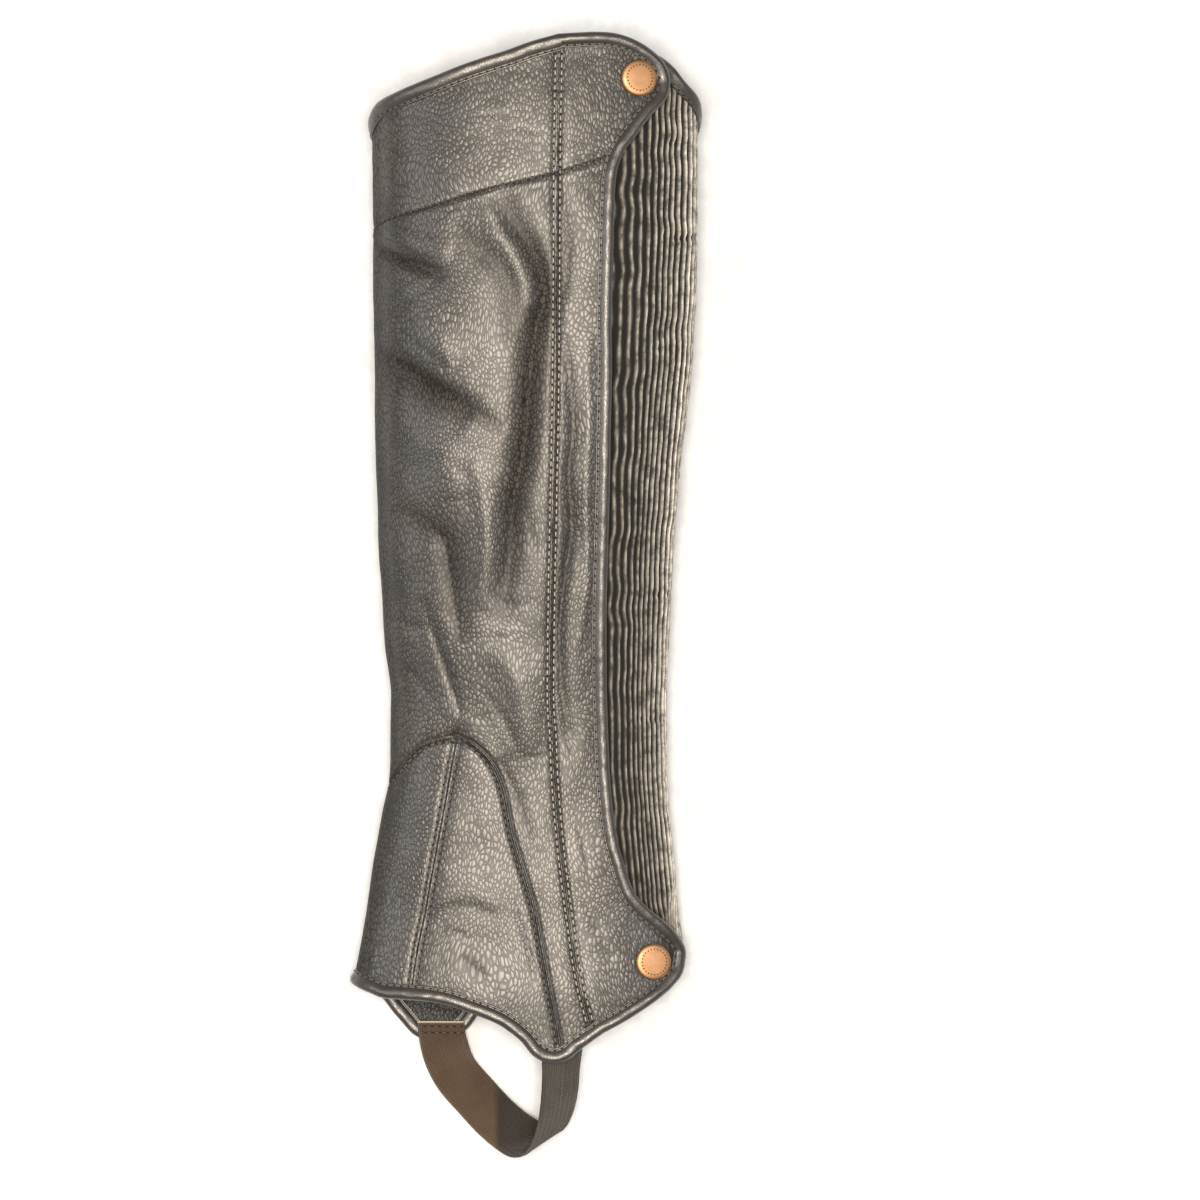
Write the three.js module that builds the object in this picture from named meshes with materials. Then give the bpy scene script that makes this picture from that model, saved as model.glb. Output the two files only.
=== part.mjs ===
// A rider's half chap: a hollow leather gaiter for one lower leg, closed and lying on its inner side.
// Millimetres. +X runs from shin to calf, +Y from foot to knee, +Z up from the surface it lies on.
import * as THREE from 'three';

// The whole chap
const CHAP_HEIGHT = 440;
const CHAP_WIDTH = 150;
const CALF_DEPTH = 56;
const WAIST_SHARE = 0.42;
const SIDE_FULLNESS = 0.25;
const UNDER_PRESS = 1.4;
const PRESS_SOFTNESS = 2.5;

// Leather, seams and folds
const LEATHER = 1.6;
const SEAM_GAP = 0.4;
const FOLD_WIDTH = 7;
const FOLD_DEPTH = 2.4;
const SHIN_SEAM_ANGLE = 4.0;
const CALF_SEAM_ANGLE = 5.4;

// Bindings
const BINDING_WIDTH = 5.6;
const BINDING_LEATHER = 1.2;
const BINDING_GAP = 0.4;
const JOIN_GAP = 1.4;

// Ribbed back panel, which passes under the flap
const BACK_WALL = 1.2;
const BACK_DROP = 5;
const RIB_PITCH = 3.4;
const RIB_HEIGHT = 0.9;

// Snaps
const SNAP_DIAMETER = 15.7;
const SNAP_HEIGHT = 2.6;
const STUD_DIAMETER = 8;
const SNAP_GAP = 0.3;
const STUD_PLAY = 0.15;

// Zip and stirrup strap
const ZIP_WIDTH = 12;
const ZIP_THICKNESS = 1.8;
const ZIP_TOP_DOWN = 2.2;
const ZIP_FOOT_DOWN = 93;
const STRAP_WIDTH = 20.5;
const STRAP_THICKNESS = 1.6;
const STRAP_STEPS = 44;

// Sections down the leg: height in percent of CHAP_HEIGHT, both folds in percent of CHAP_WIDTH,
// depth in percent of CALF_DEPTH.
const SECTIONS = [
  { down: 0, shin: 5.4, calf: 99.7, deep: 98 },
  { down: 8, shin: 5.7, calf: 99.4, deep: 100 },
  { down: 18, shin: 6.0, calf: 99.4, deep: 100 },
  { down: 29.7, shin: 6.3, calf: 98.3, deep: 96 },
  { down: 41.5, shin: 6.9, calf: 94.6, deep: 90 },
  { down: 50.3, shin: 7.7, calf: 92.6, deep: 82 },
  { down: 59.1, shin: 9.4, calf: 91.3, deep: 74 },
  { down: 65, shin: 10.9, calf: 90.6, deep: 68 },
  { down: 70.8, shin: 10.6, calf: 90.6, deep: 64 },
  { down: 76.7, shin: 8.0, calf: 91.7, deep: 62 },
  { down: 82.6, shin: 5.1, calf: 93.4, deep: 61 },
  { down: 87.5, shin: 2.9, calf: 96.0, deep: 60 },
  { down: 92.4, shin: 0.3, calf: 97.4, deep: 60 },
  { down: 100, shin: -2.9, calf: 97.4, deep: 58 },
];

// Outlines and seams: percent across CHAP_WIDTH and down CHAP_HEIGHT, on the side that shows.
const TOP_OUTLINE = [
  [51.4, 1.0], [44.9, 1.8], [38.3, 2.5], [31.4, 3.3],
  [25.4, 4.1], [19.1, 4.9], [13.1, 5.7], [8.3, 6.5],
];
const TOP_FOLD_DOWN = 8.0;
const TOP_UNDER_DOWN = 8.4;

const FLAP_OUTLINE = [
  [71.4, 0.0], [81.1, 0.3], [84.0, 1.0], [87.1, 1.9], [89.1, 2.7], [90.3, 3.6],
  [90.9, 4.4], [90.6, 5.2], [90.0, 6.0], [88.6, 6.8], [86.0, 7.7], [83.1, 9.0], [81.1, 10.0],
  [78.6, 11.1], [77.1, 12.1], [76.0, 13.3], [75.4, 14.9], [75.1, 17.5], [74.7, 22], [74.3, 28],
  [74.3, 35.6], [73.9, 43], [73.3, 50.5], [72.9, 57], [73.1, 65], [74.1, 72.8], [75.1, 76.2],
  [76.1, 78.4], [77.6, 80.2], [78.9, 81.7], [80.9, 83.4], [84.0, 84.7], [88.0, 85.9],
  [91.7, 87.1], [94.0, 88.2], [95.1, 89.2], [95.1, 90.1], [94.6, 91.2], [92.6, 92.3],
  [88.9, 93.5], [84.0, 94.7], [78.0, 96.0], [72.5, 97.0], [69.8, 97.6],
];
const FLAP_CORNER = [81.1, 0.3];

const BOTTOM_OUTLINE = [
  [69.0, 97.8], [65.1, 98.8], [62.3, 99.6], [58.3, 100], [54.9, 99.8], [52.0, 99.2],
  [48.9, 97.9], [45.4, 96.9], [42.3, 96.2], [38.3, 95.6], [33.4, 95.0], [28.3, 94.4],
  [22.3, 94.0], [14.3, 93.8], [9.1, 93.7], [4.9, 93.2],
];
const BOTTOM_FOLD_DOWN = 92.6;
const BOTTOM_UNDER_OUTLINE = [
  [6.6, 93.6], [12.6, 96.0], [18.6, 98.0], [25.7, 98.2], [32.3, 97.3], [37.5, 95.1],
  [48.6, 92.4], [65.7, 90.2],
];
const BOTTOM_CALF_DOWN = 89.2;

const STRIP_SEAM = [
  [59.6, 0.2], [59.1, 11.2], [58.9, 25.8], [58.6, 35.6], [58.0, 45.4], [57.4, 55.2], [57.1, 65.0],
  [57.7, 67.5], [58.3, 72.2], [60.3, 80.0], [62.6, 86.1], [65.4, 92.3], [68.6, 96.5], [69.3, 97.7],
];
const INSTEP_RIGHT_SEAM = [
  [30.3, 68.3], [34.9, 69.0], [39.4, 70.5], [43.1, 73.0], [46.0, 77.8], [51.1, 83.6],
  [54.3, 88.7], [56.3, 92.3], [58.9, 96.8],
];
const INSTEP_LEFT_SEAM = [[30.3, 68.3], [25.7, 68.5], [21.1, 69.0], [16.6, 70.3], [12.6, 72.0]];
const INSTEP_FOLD_DOWN = 73.2;
const INSTEP_UNDER_DOWN = 75.5;
const RIGHT_SEAM_FOOT = [60.4, 99.8];
const DART_FOOT = [17.1, 93.8];
const DART_SEAM = [
  [30.3, 68.3], [28.3, 72.0], [26.9, 74.8], [24.3, 79.5], [21.7, 84.4], [19.1, 88.7],
  [17.7, 91.8],
];

// The closing line where the zip runs, and the hidden outline of the ribbed panel
const CLOSING_LINE = [[75.3, 0], [75.1, 16], [74.3, 30], [73.6, 46], [72.9, 57], [73.1, 65], [74.1, 73],
  [75.2, 80], [76.5, 90], [76.8, 96]];
const BACK_INSET = 4.5;
const BACK_TOP_OUTLINE = [[99.0, 7.0], [98.2, 5.6], [96.2, 4.4], [93.6, 3.0], [88.6, 1.9], [80, 1.3]];
const BACK_CORNER_DOWN = 1.2;
const BACK_TOP_UNDER_DOWN = 8.4;
const BACK_BOTTOM_OUTLINE = [[93, 90.5], [87, 93.0], [82, 94.2]];
const BACK_BOTTOM_UNDER_DOWN = 89.2;
const BACK_BOTTOM_CORNER_DOWN = 94.8;

// Soft folds and ridges: line ends in percent across and down, width and height in percent of
// FOLD_WIDTH and FOLD_DEPTH. A height below zero is a crease.
const FOLDS = [
  { x1: 8.6, y1: 21.4, x2: 18.6, y2: 22.9, wide: 70, high: -90 },
  { x1: 18.6, y1: 22.9, x2: 27.1, y2: 23.2, wide: 60, high: -70 },
  { x1: 27.1, y1: 23.2, x2: 11.4, y2: 26.8, wide: 60, high: -50 },
  { x1: 11.4, y1: 30.7, x2: 22.9, y2: 33.7, wide: 80, high: -120 },
  { x1: 22.9, y1: 33.7, x2: 42.9, y2: 38.7, wide: 80, high: -100 },
  { x1: 42.9, y1: 16.0, x2: 50.4, y2: 22.9, wide: 70, high: -90 },
  { x1: 50.4, y1: 22.9, x2: 52.4, y2: 31.7, wide: 70, high: -100 },
  { x1: 52.4, y1: 31.7, x2: 51.0, y2: 38.5, wide: 70, high: -90 },
  { x1: 50.4, y1: 39.5, x2: 44.9, y2: 44.4, wide: 70, high: -90 },
  { x1: 44.9, y1: 44.4, x2: 42.0, y2: 55.2, wide: 80, high: -80 },
  { x1: 40.3, y1: 17.5, x2: 46.1, y2: 27.9, wide: 80, high: 60 },
  { x1: 40.0, y1: 35.6, x2: 36.3, y2: 41.5, wide: 80, high: 60 },
  { x1: 36.3, y1: 41.5, x2: 40.0, y2: 50.3, wide: 80, high: 60 },
  { x1: 20.0, y1: 45.9, x2: 32.9, y2: 52.3, wide: 150, high: -90 },
  { x1: 32.9, y1: 52.3, x2: 31.4, y2: 59.1, wide: 150, high: -80 },
  { x1: 15.7, y1: 56.2, x2: 27.1, y2: 63.0, wide: 90, high: 70 },
  { x1: 27.1, y1: 63.0, x2: 30.3, y2: 67.0, wide: 90, high: 60 },
  { x1: 29.5, y1: 59.5, x2: 35.0, y2: 65.5, wide: 80, high: -70 },
  { x1: 62.8, y1: 36.0, x2: 62.4, y2: 66.0, wide: 50, high: -45 },
  { x1: 22.9, y1: 85.2, x2: 32.9, y2: 84.8, wide: 60, high: -40 },
];

// The stirrup strap: its shin-side edge a and calf-side edge b, in percent across and down; rise is
// edge a's height, in percent of the way from the lower sewn end to the upper one.
const STRAP = [
  { ax: 18.0, ay: 96.4, bx: 32.3, by: 96.4, rise: 0 },
  { ax: 18.6, ay: 97.8, bx: 32.6, by: 97.8, rise: 0 },
  { ax: 20.3, ay: 100.6, bx: 33.7, by: 99.0, rise: -5 },
  { ax: 24.3, ay: 103.2, bx: 34.9, by: 100.1, rise: -10 },
  { ax: 30.3, ay: 105.7, bx: 40.6, by: 102.3, rise: -13 },
  { ax: 36.3, ay: 107.8, bx: 46.0, by: 104.3, rise: -10 },
  { ax: 42.3, ay: 109.3, bx: 51.4, by: 105.8, rise: 3 },
  { ax: 46.9, ay: 109.7, bx: 57.1, by: 107.0, rise: 32 },
  { ax: 50.6, ay: 108.8, bx: 60.9, by: 106.8, rise: 64 },
  { ax: 52.9, ay: 106.8, bx: 63.4, by: 105.3, rise: 87 },
  { ax: 54.0, ay: 104.7, bx: 64.9, by: 103.1, rise: 98 },
  { ax: 54.6, ay: 102.2, bx: 65.4, by: 101.0, rise: 103 },
  { ax: 54.6, ay: 100.0, bx: 66.0, by: 99.4, rise: 103 },
  { ax: 54.0, ay: 98.2, bx: 66.6, by: 97.8, rise: 100 },
  { ax: 53.7, ay: 96.5, bx: 67.1, by: 96.3, rise: 100 },
];

const SNAPS = [
  { name: 'top', across: 82.0, down: 4.4 },
  { name: 'bottom', across: 86.2, down: 90.2 },
];

// Colours and finishes
const LEATHER_LOOK = { color: 0x5a5149, roughness: 0.55, metalness: 0 };
const BINDING_LOOK = { color: 0x4a4642, roughness: 0.4, metalness: 0 };
const BACK_LOOK = { color: 0x6b6459, roughness: 0.6, metalness: 0 };
const SNAP_LOOK = { color: 0xd99a6c, roughness: 0.3, metalness: 1 };
const STRAP_LOOK = { color: 0x54493f, roughness: 0.85, metalness: 0 };
const ZIP_LOOK = { color: 0x2a2826, roughness: 0.7, metalness: 0 };

// How finely each panel is divided
const SHIN_COLUMNS = 10;
const TONGUE_COLUMNS = 6;
const SHIN_ROWS = 22;
const TONGUE_ROWS = 14;
const DART_ROWS = 10;
const MEDIAL_COLUMNS = 14;
const MEDIAL_ROWS = 16;
const STRIP_COLUMNS = 6;
const STRIP_FOOT_DOWN = 96.3;
const BACK_ROWS = 12;
const BACK_EDGE_STEPS = 32;
const ZIP_ROWS = 24;
const ROUTE_CHECKS = 1200;

const HALF_LEATHER = LEATHER / 2;
const EDGE_INSET = BINDING_LEATHER + BINDING_GAP;
const backBelow = RIB_HEIGHT + BACK_WALL - HALF_LEATHER;
const TURN = Math.PI * 2;
const PERCENT = 0.01;

// A smooth curve through table values, with no overshoot between rows.
function smoothColumn(rows, key) {
  const slopes = rows.map((row, i) => {
    if (i === 0 || i === rows.length - 1) {
      return 0;
    }
    const before = (row[key] - rows[i - 1][key]) / (row.down - rows[i - 1].down);
    const after = (rows[i + 1][key] - row[key]) / (rows[i + 1].down - row.down);
    return before * after > 0 ? (2 * before * after) / (before + after) : 0;
  });
  return (down) => {
    const at = THREE.MathUtils.clamp(down, rows[0].down, rows[rows.length - 1].down);
    let i = 0;
    while (i < rows.length - 2 && at > rows[i + 1].down) {
      i += 1;
    }
    const span = rows[i + 1].down - rows[i].down;
    const t = (at - rows[i].down) / span;
    const rest = 1 - t;
    return rows[i][key] * (1 + 2 * t) * rest * rest + slopes[i] * span * t * rest * rest
      + rows[i + 1][key] * t * t * (3 - 2 * t) - slopes[i + 1] * span * t * t * rest;
  };
}

const shinPercent = smoothColumn(SECTIONS, 'shin');
const calfPercent = smoothColumn(SECTIONS, 'calf');
const deepPercent = smoothColumn(SECTIONS, 'deep');
const acrossToX = (across) => CHAP_WIDTH * (across * PERCENT - 0.5);
const downToY = (down) => CHAP_HEIGHT * (0.5 - down * PERCENT);
const smoothstep = THREE.MathUtils.smoothstep;

function section(down) {
  const shin = acrossToX(shinPercent(down)) + HALF_LEATHER;
  const calf = acrossToX(calfPercent(down)) - HALF_LEATHER;
  const deep = CALF_DEPTH * deepPercent(down) * PERCENT;
  const waist = deep * WAIST_SHARE;
  return { mid: (shin + calf) / 2, half: (calf - shin) / 2, waist, up: deep - HALF_LEATHER - waist };
}

// The leather rides on its bindings, so it lies a little higher near its two ends.
function floorHeight(down) {
  const nearEnd = 1 - smoothstep(down, 10, 14) + smoothstep(down, 84, 88);
  return HALF_LEATHER + (BINDING_GAP + BINDING_LEATHER) * nearEnd;
}

// Height above the floor where a round underside is pressed flat, with a soft bend at the edge.
function pressed(height) {
  if (Math.abs(height) > PRESS_SOFTNESS) {
    return Math.max(height, 0);
  }
  return (height + PRESS_SOFTNESS) ** 2 / (4 * PRESS_SOFTNESS);
}

// Middle of the leather at an angle round the leg: 0 at the calf, a quarter turn on top,
// half a turn at the shin, three quarters underneath, where it lies flat.
function middle(angle, down) {
  const { mid, half, waist, up } = section(down);
  const across = Math.cos(angle);
  const rise = Math.sin(angle) * (1 + SIDE_FULLNESS * across * across);
  const z = waist + rise * (rise > 0 ? up : waist * UNDER_PRESS);
  const floor = floorHeight(down);
  return new THREE.Vector3(mid + half * across, downToY(down), floor + pressed(z - floor));
}

// Angle on the upper side for a place across, and the same place on the under side.
function upperAngle(across, down) {
  const { mid, half } = section(down);
  return Math.acos(THREE.MathUtils.clamp((acrossToX(across) - mid) / half, -1, 1));
}
const underAngle = (across, down) => TURN - upperAngle(across, down);

function foldHeight(angle, down) {
  const onTop = smoothstep(Math.sin(angle), 0.2, 0.55);
  if (onTop === 0) {
    return 0;
  }
  const spot = middle(angle, down);
  let height = 0;
  for (const fold of FOLDS) {
    const from = new THREE.Vector3(acrossToX(fold.x1), downToY(fold.y1), 0);
    const to = new THREE.Vector3(acrossToX(fold.x2), downToY(fold.y2), 0);
    const near = new THREE.Vector3();
    new THREE.Line3(from, to).closestPointToPoint(spot.clone().setZ(0), true, near);
    const reach = Math.hypot(near.x - spot.x, near.y - spot.y) / (FOLD_WIDTH * fold.wide * PERCENT);
    height += FOLD_DEPTH * fold.high * PERCENT * Math.exp(-reach * reach);
  }
  return height * onTop;
}

function slopes(angle, down) {
  const turn = 0.01;
  const drop = 0.15;
  const round = middle(angle + turn, down).sub(middle(angle - turn, down)).divideScalar(2 * turn);
  const along = middle(angle, down + drop).sub(middle(angle, down - drop)).divideScalar(2 * drop);
  const normal = new THREE.Vector3().crossVectors(round, along).normalize();
  return { round, along, normal };
}

function skin(angle, down, out) {
  const { normal } = slopes(angle, down);
  return middle(angle, down).addScaledVector(normal, out + foldHeight(angle, down));
}

// How far the ribbed panel lies below the leather: all the way under the flap, none at the calf.
function backDrop(angle, down) {
  const underFlap = smoothstep(angle, 0.1, 0.6);
  const underTab = smoothstep(down, 82, 88) * smoothstep(angle, -0.3, 0.25);
  return BACK_DROP * Math.max(underFlap, underTab);
}
const backSkin = (angle, down, out) => skin(angle, down, out - backDrop(angle, down));

// A step of one millimetre on the surface, square to a heading and on its left seen from outside.
function sideStep(node, heading) {
  const { round, along, normal } = slopes(node.angle, node.down);
  const ahead = round.clone().multiplyScalar(heading.angle).addScaledVector(along, heading.down);
  const side = new THREE.Vector3().crossVectors(normal, ahead).normalize();
  const rr = round.dot(round);
  const ra = round.dot(along);
  const aa = along.dot(along);
  const det = rr * aa - ra * ra;
  const sr = side.dot(round);
  const sa = side.dot(along);
  return { angle: (sr * aa - sa * ra) / det, down: (sa * rr - sr * ra) / det };
}

const steps = (count) => Array.from({ length: count + 1 }, (_, i) => i / count);
const between = (a, b, share) => a + (b - a) * share;
const node = (angle, down) => ({ angle, down });
const topNodes = (rows) => rows.map(([across, down]) => node(upperAngle(across, down), down));
const underNodes = (rows) => rows.map(([across, down]) => node(underAngle(across, down), down));

// A smooth route through nodes. at(share) walks it by length; aside(share, mm) steps to its left.
function route(nodes) {
  const roundScale = CHAP_WIDTH / 2;
  const downScale = CHAP_HEIGHT * PERCENT;
  const points = nodes.map((n) => new THREE.Vector3(n.angle * roundScale, n.down * downScale, 0));
  const curve = new THREE.CatmullRomCurve3(points, false, 'centripetal');
  curve.arcLengthDivisions = 400;
  const at = (share) => {
    const point = curve.getPointAt(THREE.MathUtils.clamp(share, 0, 1));
    return node(point.x / roundScale, point.y / downScale);
  };
  const heading = (share) => {
    const ahead = at(share + 0.004);
    const behind = at(share - 0.004);
    return node(ahead.angle - behind.angle, ahead.down - behind.down);
  };
  const aside = (share, mm) => {
    const spot = at(share);
    const step = sideStep(spot, heading(share));
    return node(spot.angle + mm * step.angle, spot.down + mm * step.down);
  };
  const spots = steps(ROUTE_CHECKS).map((share) => ({ share, ...at(share) }));
  const shareOfAngle = (angle) => spots.find((spot) => spot.angle >= angle).share;
  const shareOfDown = (down) => spots.find((spot) => spot.down <= down).share;
  const distance = (spot, target) => (
    Math.hypot((spot.angle - target.angle) * roundScale, (spot.down - target.down) * downScale));
  const shareNear = (target) => spots.reduce((best, spot) => (
    distance(spot, target) < distance(best, target) ? spot : best)).share;
  return { at, aside, length: curve.getLength(), shareOfAngle, shareOfDown, shareNear };
}

// A grid of nodes spread between four edges, each a list of nodes; left and right go down.
function patch(top, bottom, left, right) {
  const columns = top.length - 1;
  const rows = left.length - 1;
  const blend = (key, i, j) => {
    const s = i / columns;
    const t = j / rows;
    const corners = (1 - s) * (1 - t) * top[0][key] + s * (1 - t) * top[columns][key]
      + (1 - s) * t * bottom[0][key] + s * t * bottom[columns][key];
    return (1 - t) * top[i][key] + t * bottom[i][key] + (1 - s) * left[j][key] + s * right[j][key] - corners;
  };
  return steps(rows).map((t, j) => steps(columns).map((s, i) => (
    { angle: blend('angle', i, j), down: blend('down', i, j), s, t })));
}

// A closed wall over grids of nodes: an outer skin, an inner skin and the edges between them.
function wall(grids, outer, inner, place = skin) {
  const nodes = [];
  const known = new Map();
  const quads = [];
  const indexOf = (spot) => {
    const key = `${spot.angle.toFixed(5)} ${spot.down.toFixed(4)}`;
    if (!known.has(key)) {
      known.set(key, nodes.length);
      nodes.push(spot);
    }
    return known.get(key);
  };
  for (const grid of grids) {
    for (let j = 0; j < grid.length - 1; j += 1) {
      for (let i = 0; i < grid[j].length - 1; i += 1) {
        quads.push([grid[j][i], grid[j + 1][i], grid[j + 1][i + 1], grid[j][i + 1]].map(indexOf));
      }
    }
  }
  const count = nodes.length;
  const positions = [
    ...nodes.flatMap((n) => place(n.angle, n.down, outer(n)).toArray()),
    ...nodes.flatMap((n) => place(n.angle, n.down, inner(n)).toArray()),
  ];
  const faces = [];
  const edges = new Map();
  for (const [a, b, c, d] of quads) {
    faces.push(a, b, c, a, c, d);
    faces.push(count + a, count + c, count + b, count + a, count + d, count + c);
    for (const [from, to] of [[a, b], [b, c], [c, d], [d, a]]) {
      edges.set(`${from} ${to}`, [from, to]);
    }
  }
  for (const [from, to] of edges.values()) {
    if (!edges.has(`${to} ${from}`)) {
      faces.push(to, from, count + from, to, count + from, count + to);
    }
  }
  return solid(positions, faces);
}

// A geometry whose faces point out, whatever way round they were listed.
function solid(positions, faces) {
  const corner = (i) => new THREE.Vector3().fromArray(positions, faces[i] * 3);
  let volume = 0;
  for (let i = 0; i < faces.length; i += 3) {
    volume += corner(i).dot(corner(i + 1).cross(corner(i + 2)));
  }
  const index = [...faces];
  if (volume < 0) {
    for (let i = 0; i < index.length; i += 3) {
      [index[i], index[i + 1]] = [index[i + 1], index[i]];
    }
  }
  const geometry = new THREE.BufferGeometry();
  geometry.setAttribute('position', new THREE.Float32BufferAttribute(positions, 3));
  geometry.setIndex(index);
  geometry.computeVertexNormals();
  return geometry;
}

// A solid swept through rings of points, each ring closed and flat ended.
function sweep(rings, outline) {
  const size = outline.length;
  const positions = rings.flat().flatMap((point) => point.toArray());
  const faces = [];
  for (let j = 0; j < rings.length - 1; j += 1) {
    for (let i = 0; i < size; i += 1) {
      const a = j * size + i;
      const b = j * size + ((i + 1) % size);
      faces.push(a, b, b + size, a, b + size, a + size);
    }
  }
  const last = (rings.length - 1) * size;
  for (const [a, b, c] of THREE.ShapeUtils.triangulateShape(outline, [])) {
    faces.push(a, c, b, last + a, last + b, last + c);
  }
  return solid(positions, faces);
}

// A binding folded over an edge: a channel section whose open side faces the panel, which
// reaches so far above and below its middle.
function binding(edge, place = skin, above = HALF_LEATHER, below = HALF_LEATHER) {
  const top = above + BINDING_GAP;
  const foot = -below - BINDING_GAP;
  const crown = top + BINDING_LEATHER;
  const sole = foot - BINDING_LEATHER;
  const nose = EDGE_INSET;
  const reach = BINDING_WIDTH - nose;
  const lip = BINDING_LEATHER * 0.4;
  const channel = [
    [reach, top], [reach - lip, crown], [lip / 2, crown], [-nose, crown * 0.45], [-nose, sole * 0.45],
    [lip / 2, sole], [reach - lip, sole], [reach, foot], [-BINDING_GAP, foot], [-BINDING_GAP, top],
  ].map(([x, y]) => new THREE.Vector2(x, y));
  const rings = edge.map((spot, i) => {
    const ahead = edge[Math.min(i + 1, edge.length - 1)];
    const behind = edge[Math.max(i - 1, 0)];
    const step = sideStep(spot, node(ahead.angle - behind.angle, ahead.down - behind.down));
    return channel.map(({ x, y }) => place(spot.angle + step.angle * x, spot.down + step.down * x, y));
  });
  return sweep(rings, channel);
}

// Seams as places across for a given height
const rowsOf = (pairs) => pairs.map(([across, down]) => ({ across, down }));
const seamAcross = smoothColumn(rowsOf(STRIP_SEAM), 'across');
const closingAcross = smoothColumn(rowsOf(CLOSING_LINE), 'across');
const shifted = (across, mm) => across + mm / (CHAP_WIDTH * PERCENT);
const seamNode = (down, mm) => node(upperAngle(shifted(seamAcross(down), mm), down), down);
const closingNode = (down, mm) => node(upperAngle(shifted(closingAcross(down), mm), down), down);
const backCalfAngle = CALF_SEAM_ANGLE - TURN;

// A node on a line of fixed angle, moved round the leg by so many millimetres
function angleNode(angle, down, mm) {
  return node(angle + mm / slopes(angle, down).round.length(), down);
}

// Outer edges: each route runs so that the angle grows, from the calf round to the shin and under
const seamTopDown = STRIP_SEAM[0][1];
const topRoute = route([
  seamNode(seamTopDown, -JOIN_GAP / 2),
  ...topNodes(TOP_OUTLINE),
  node(Math.PI, TOP_FOLD_DOWN),
  node(SHIN_SEAM_ANGLE, TOP_UNDER_DOWN),
  node((SHIN_SEAM_ANGLE + CALF_SEAM_ANGLE) / 2, TOP_UNDER_DOWN),
  angleNode(CALF_SEAM_ANGLE, TOP_UNDER_DOWN, -SEAM_GAP),
]);
const bottomRoute = route([
  ...topNodes(BOTTOM_OUTLINE),
  node(Math.PI, BOTTOM_FOLD_DOWN),
  ...underNodes(BOTTOM_UNDER_OUTLINE),
  angleNode(CALF_SEAM_ANGLE, BOTTOM_CALF_DOWN, -SEAM_GAP),
]);
const flapRoute = route([...topNodes(FLAP_OUTLINE)].reverse().concat(seamNode(seamTopDown, JOIN_GAP / 2)));
const backTopRoute = route([
  angleNode(backCalfAngle, BACK_TOP_UNDER_DOWN, SEAM_GAP),
  node(backCalfAngle / 3, BACK_TOP_UNDER_DOWN),
  ...topNodes(BACK_TOP_OUTLINE),
  closingNode(BACK_CORNER_DOWN, -BACK_INSET),
]);
const backBottomRoute = route([
  angleNode(backCalfAngle, BACK_BOTTOM_UNDER_DOWN, SEAM_GAP),
  node(0, (BACK_BOTTOM_UNDER_DOWN + BACK_BOTTOM_OUTLINE[0][1]) / 2),
  ...topNodes(BACK_BOTTOM_OUTLINE),
  closingNode(BACK_BOTTOM_CORNER_DOWN, -BACK_INSET),
]);

// Nodes along a stretch of a route, moved to its left by so many millimetres
const stretch = (path, from, to, count, mm) => (
  steps(count).map((share) => path.aside(between(from, to, share), mm)));

// Where the seams meet the outer edges
const nip = SEAM_GAP / 2 / bottomRoute.length;
const rightSeamFoot = bottomRoute.shareOfAngle(upperAngle(...RIGHT_SEAM_FOOT));
const dartFoot = bottomRoute.shareOfAngle(upperAngle(...DART_FOOT));
const shinFoot = bottomRoute.shareOfAngle(SHIN_SEAM_ANGLE);
const shinHead = topRoute.shareOfAngle(SHIN_SEAM_ANGLE);
const halfGap = SEAM_GAP / 2;
const gapDown = halfGap / (CHAP_HEIGHT * PERCENT);

const leftSeamRoute = route([
  ...topNodes(INSTEP_LEFT_SEAM),
  node(Math.PI, INSTEP_FOLD_DOWN),
  node(SHIN_SEAM_ANGLE, INSTEP_UNDER_DOWN),
]);
const rightSeamRoute = route([
  ...topNodes(INSTEP_RIGHT_SEAM),
  bottomRoute.aside(rightSeamFoot, -EDGE_INSET),
]);
const dartRoute = route([...topNodes(DART_SEAM), bottomRoute.aside(dartFoot, -EDGE_INSET)]);

// The point where the shin panel and both instep panels meet, as each panel's own corner
const [peakAcross, peakDown] = INSTEP_LEFT_SEAM[0];
const shinPeak = node(upperAngle(peakAcross, peakDown), peakDown - gapDown);
const frontPeak = node(upperAngle(shifted(peakAcross, -halfGap), peakDown), peakDown + gapDown);
const sidePeak = node(upperAngle(shifted(peakAcross, halfGap), peakDown), peakDown + gapDown);

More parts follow.
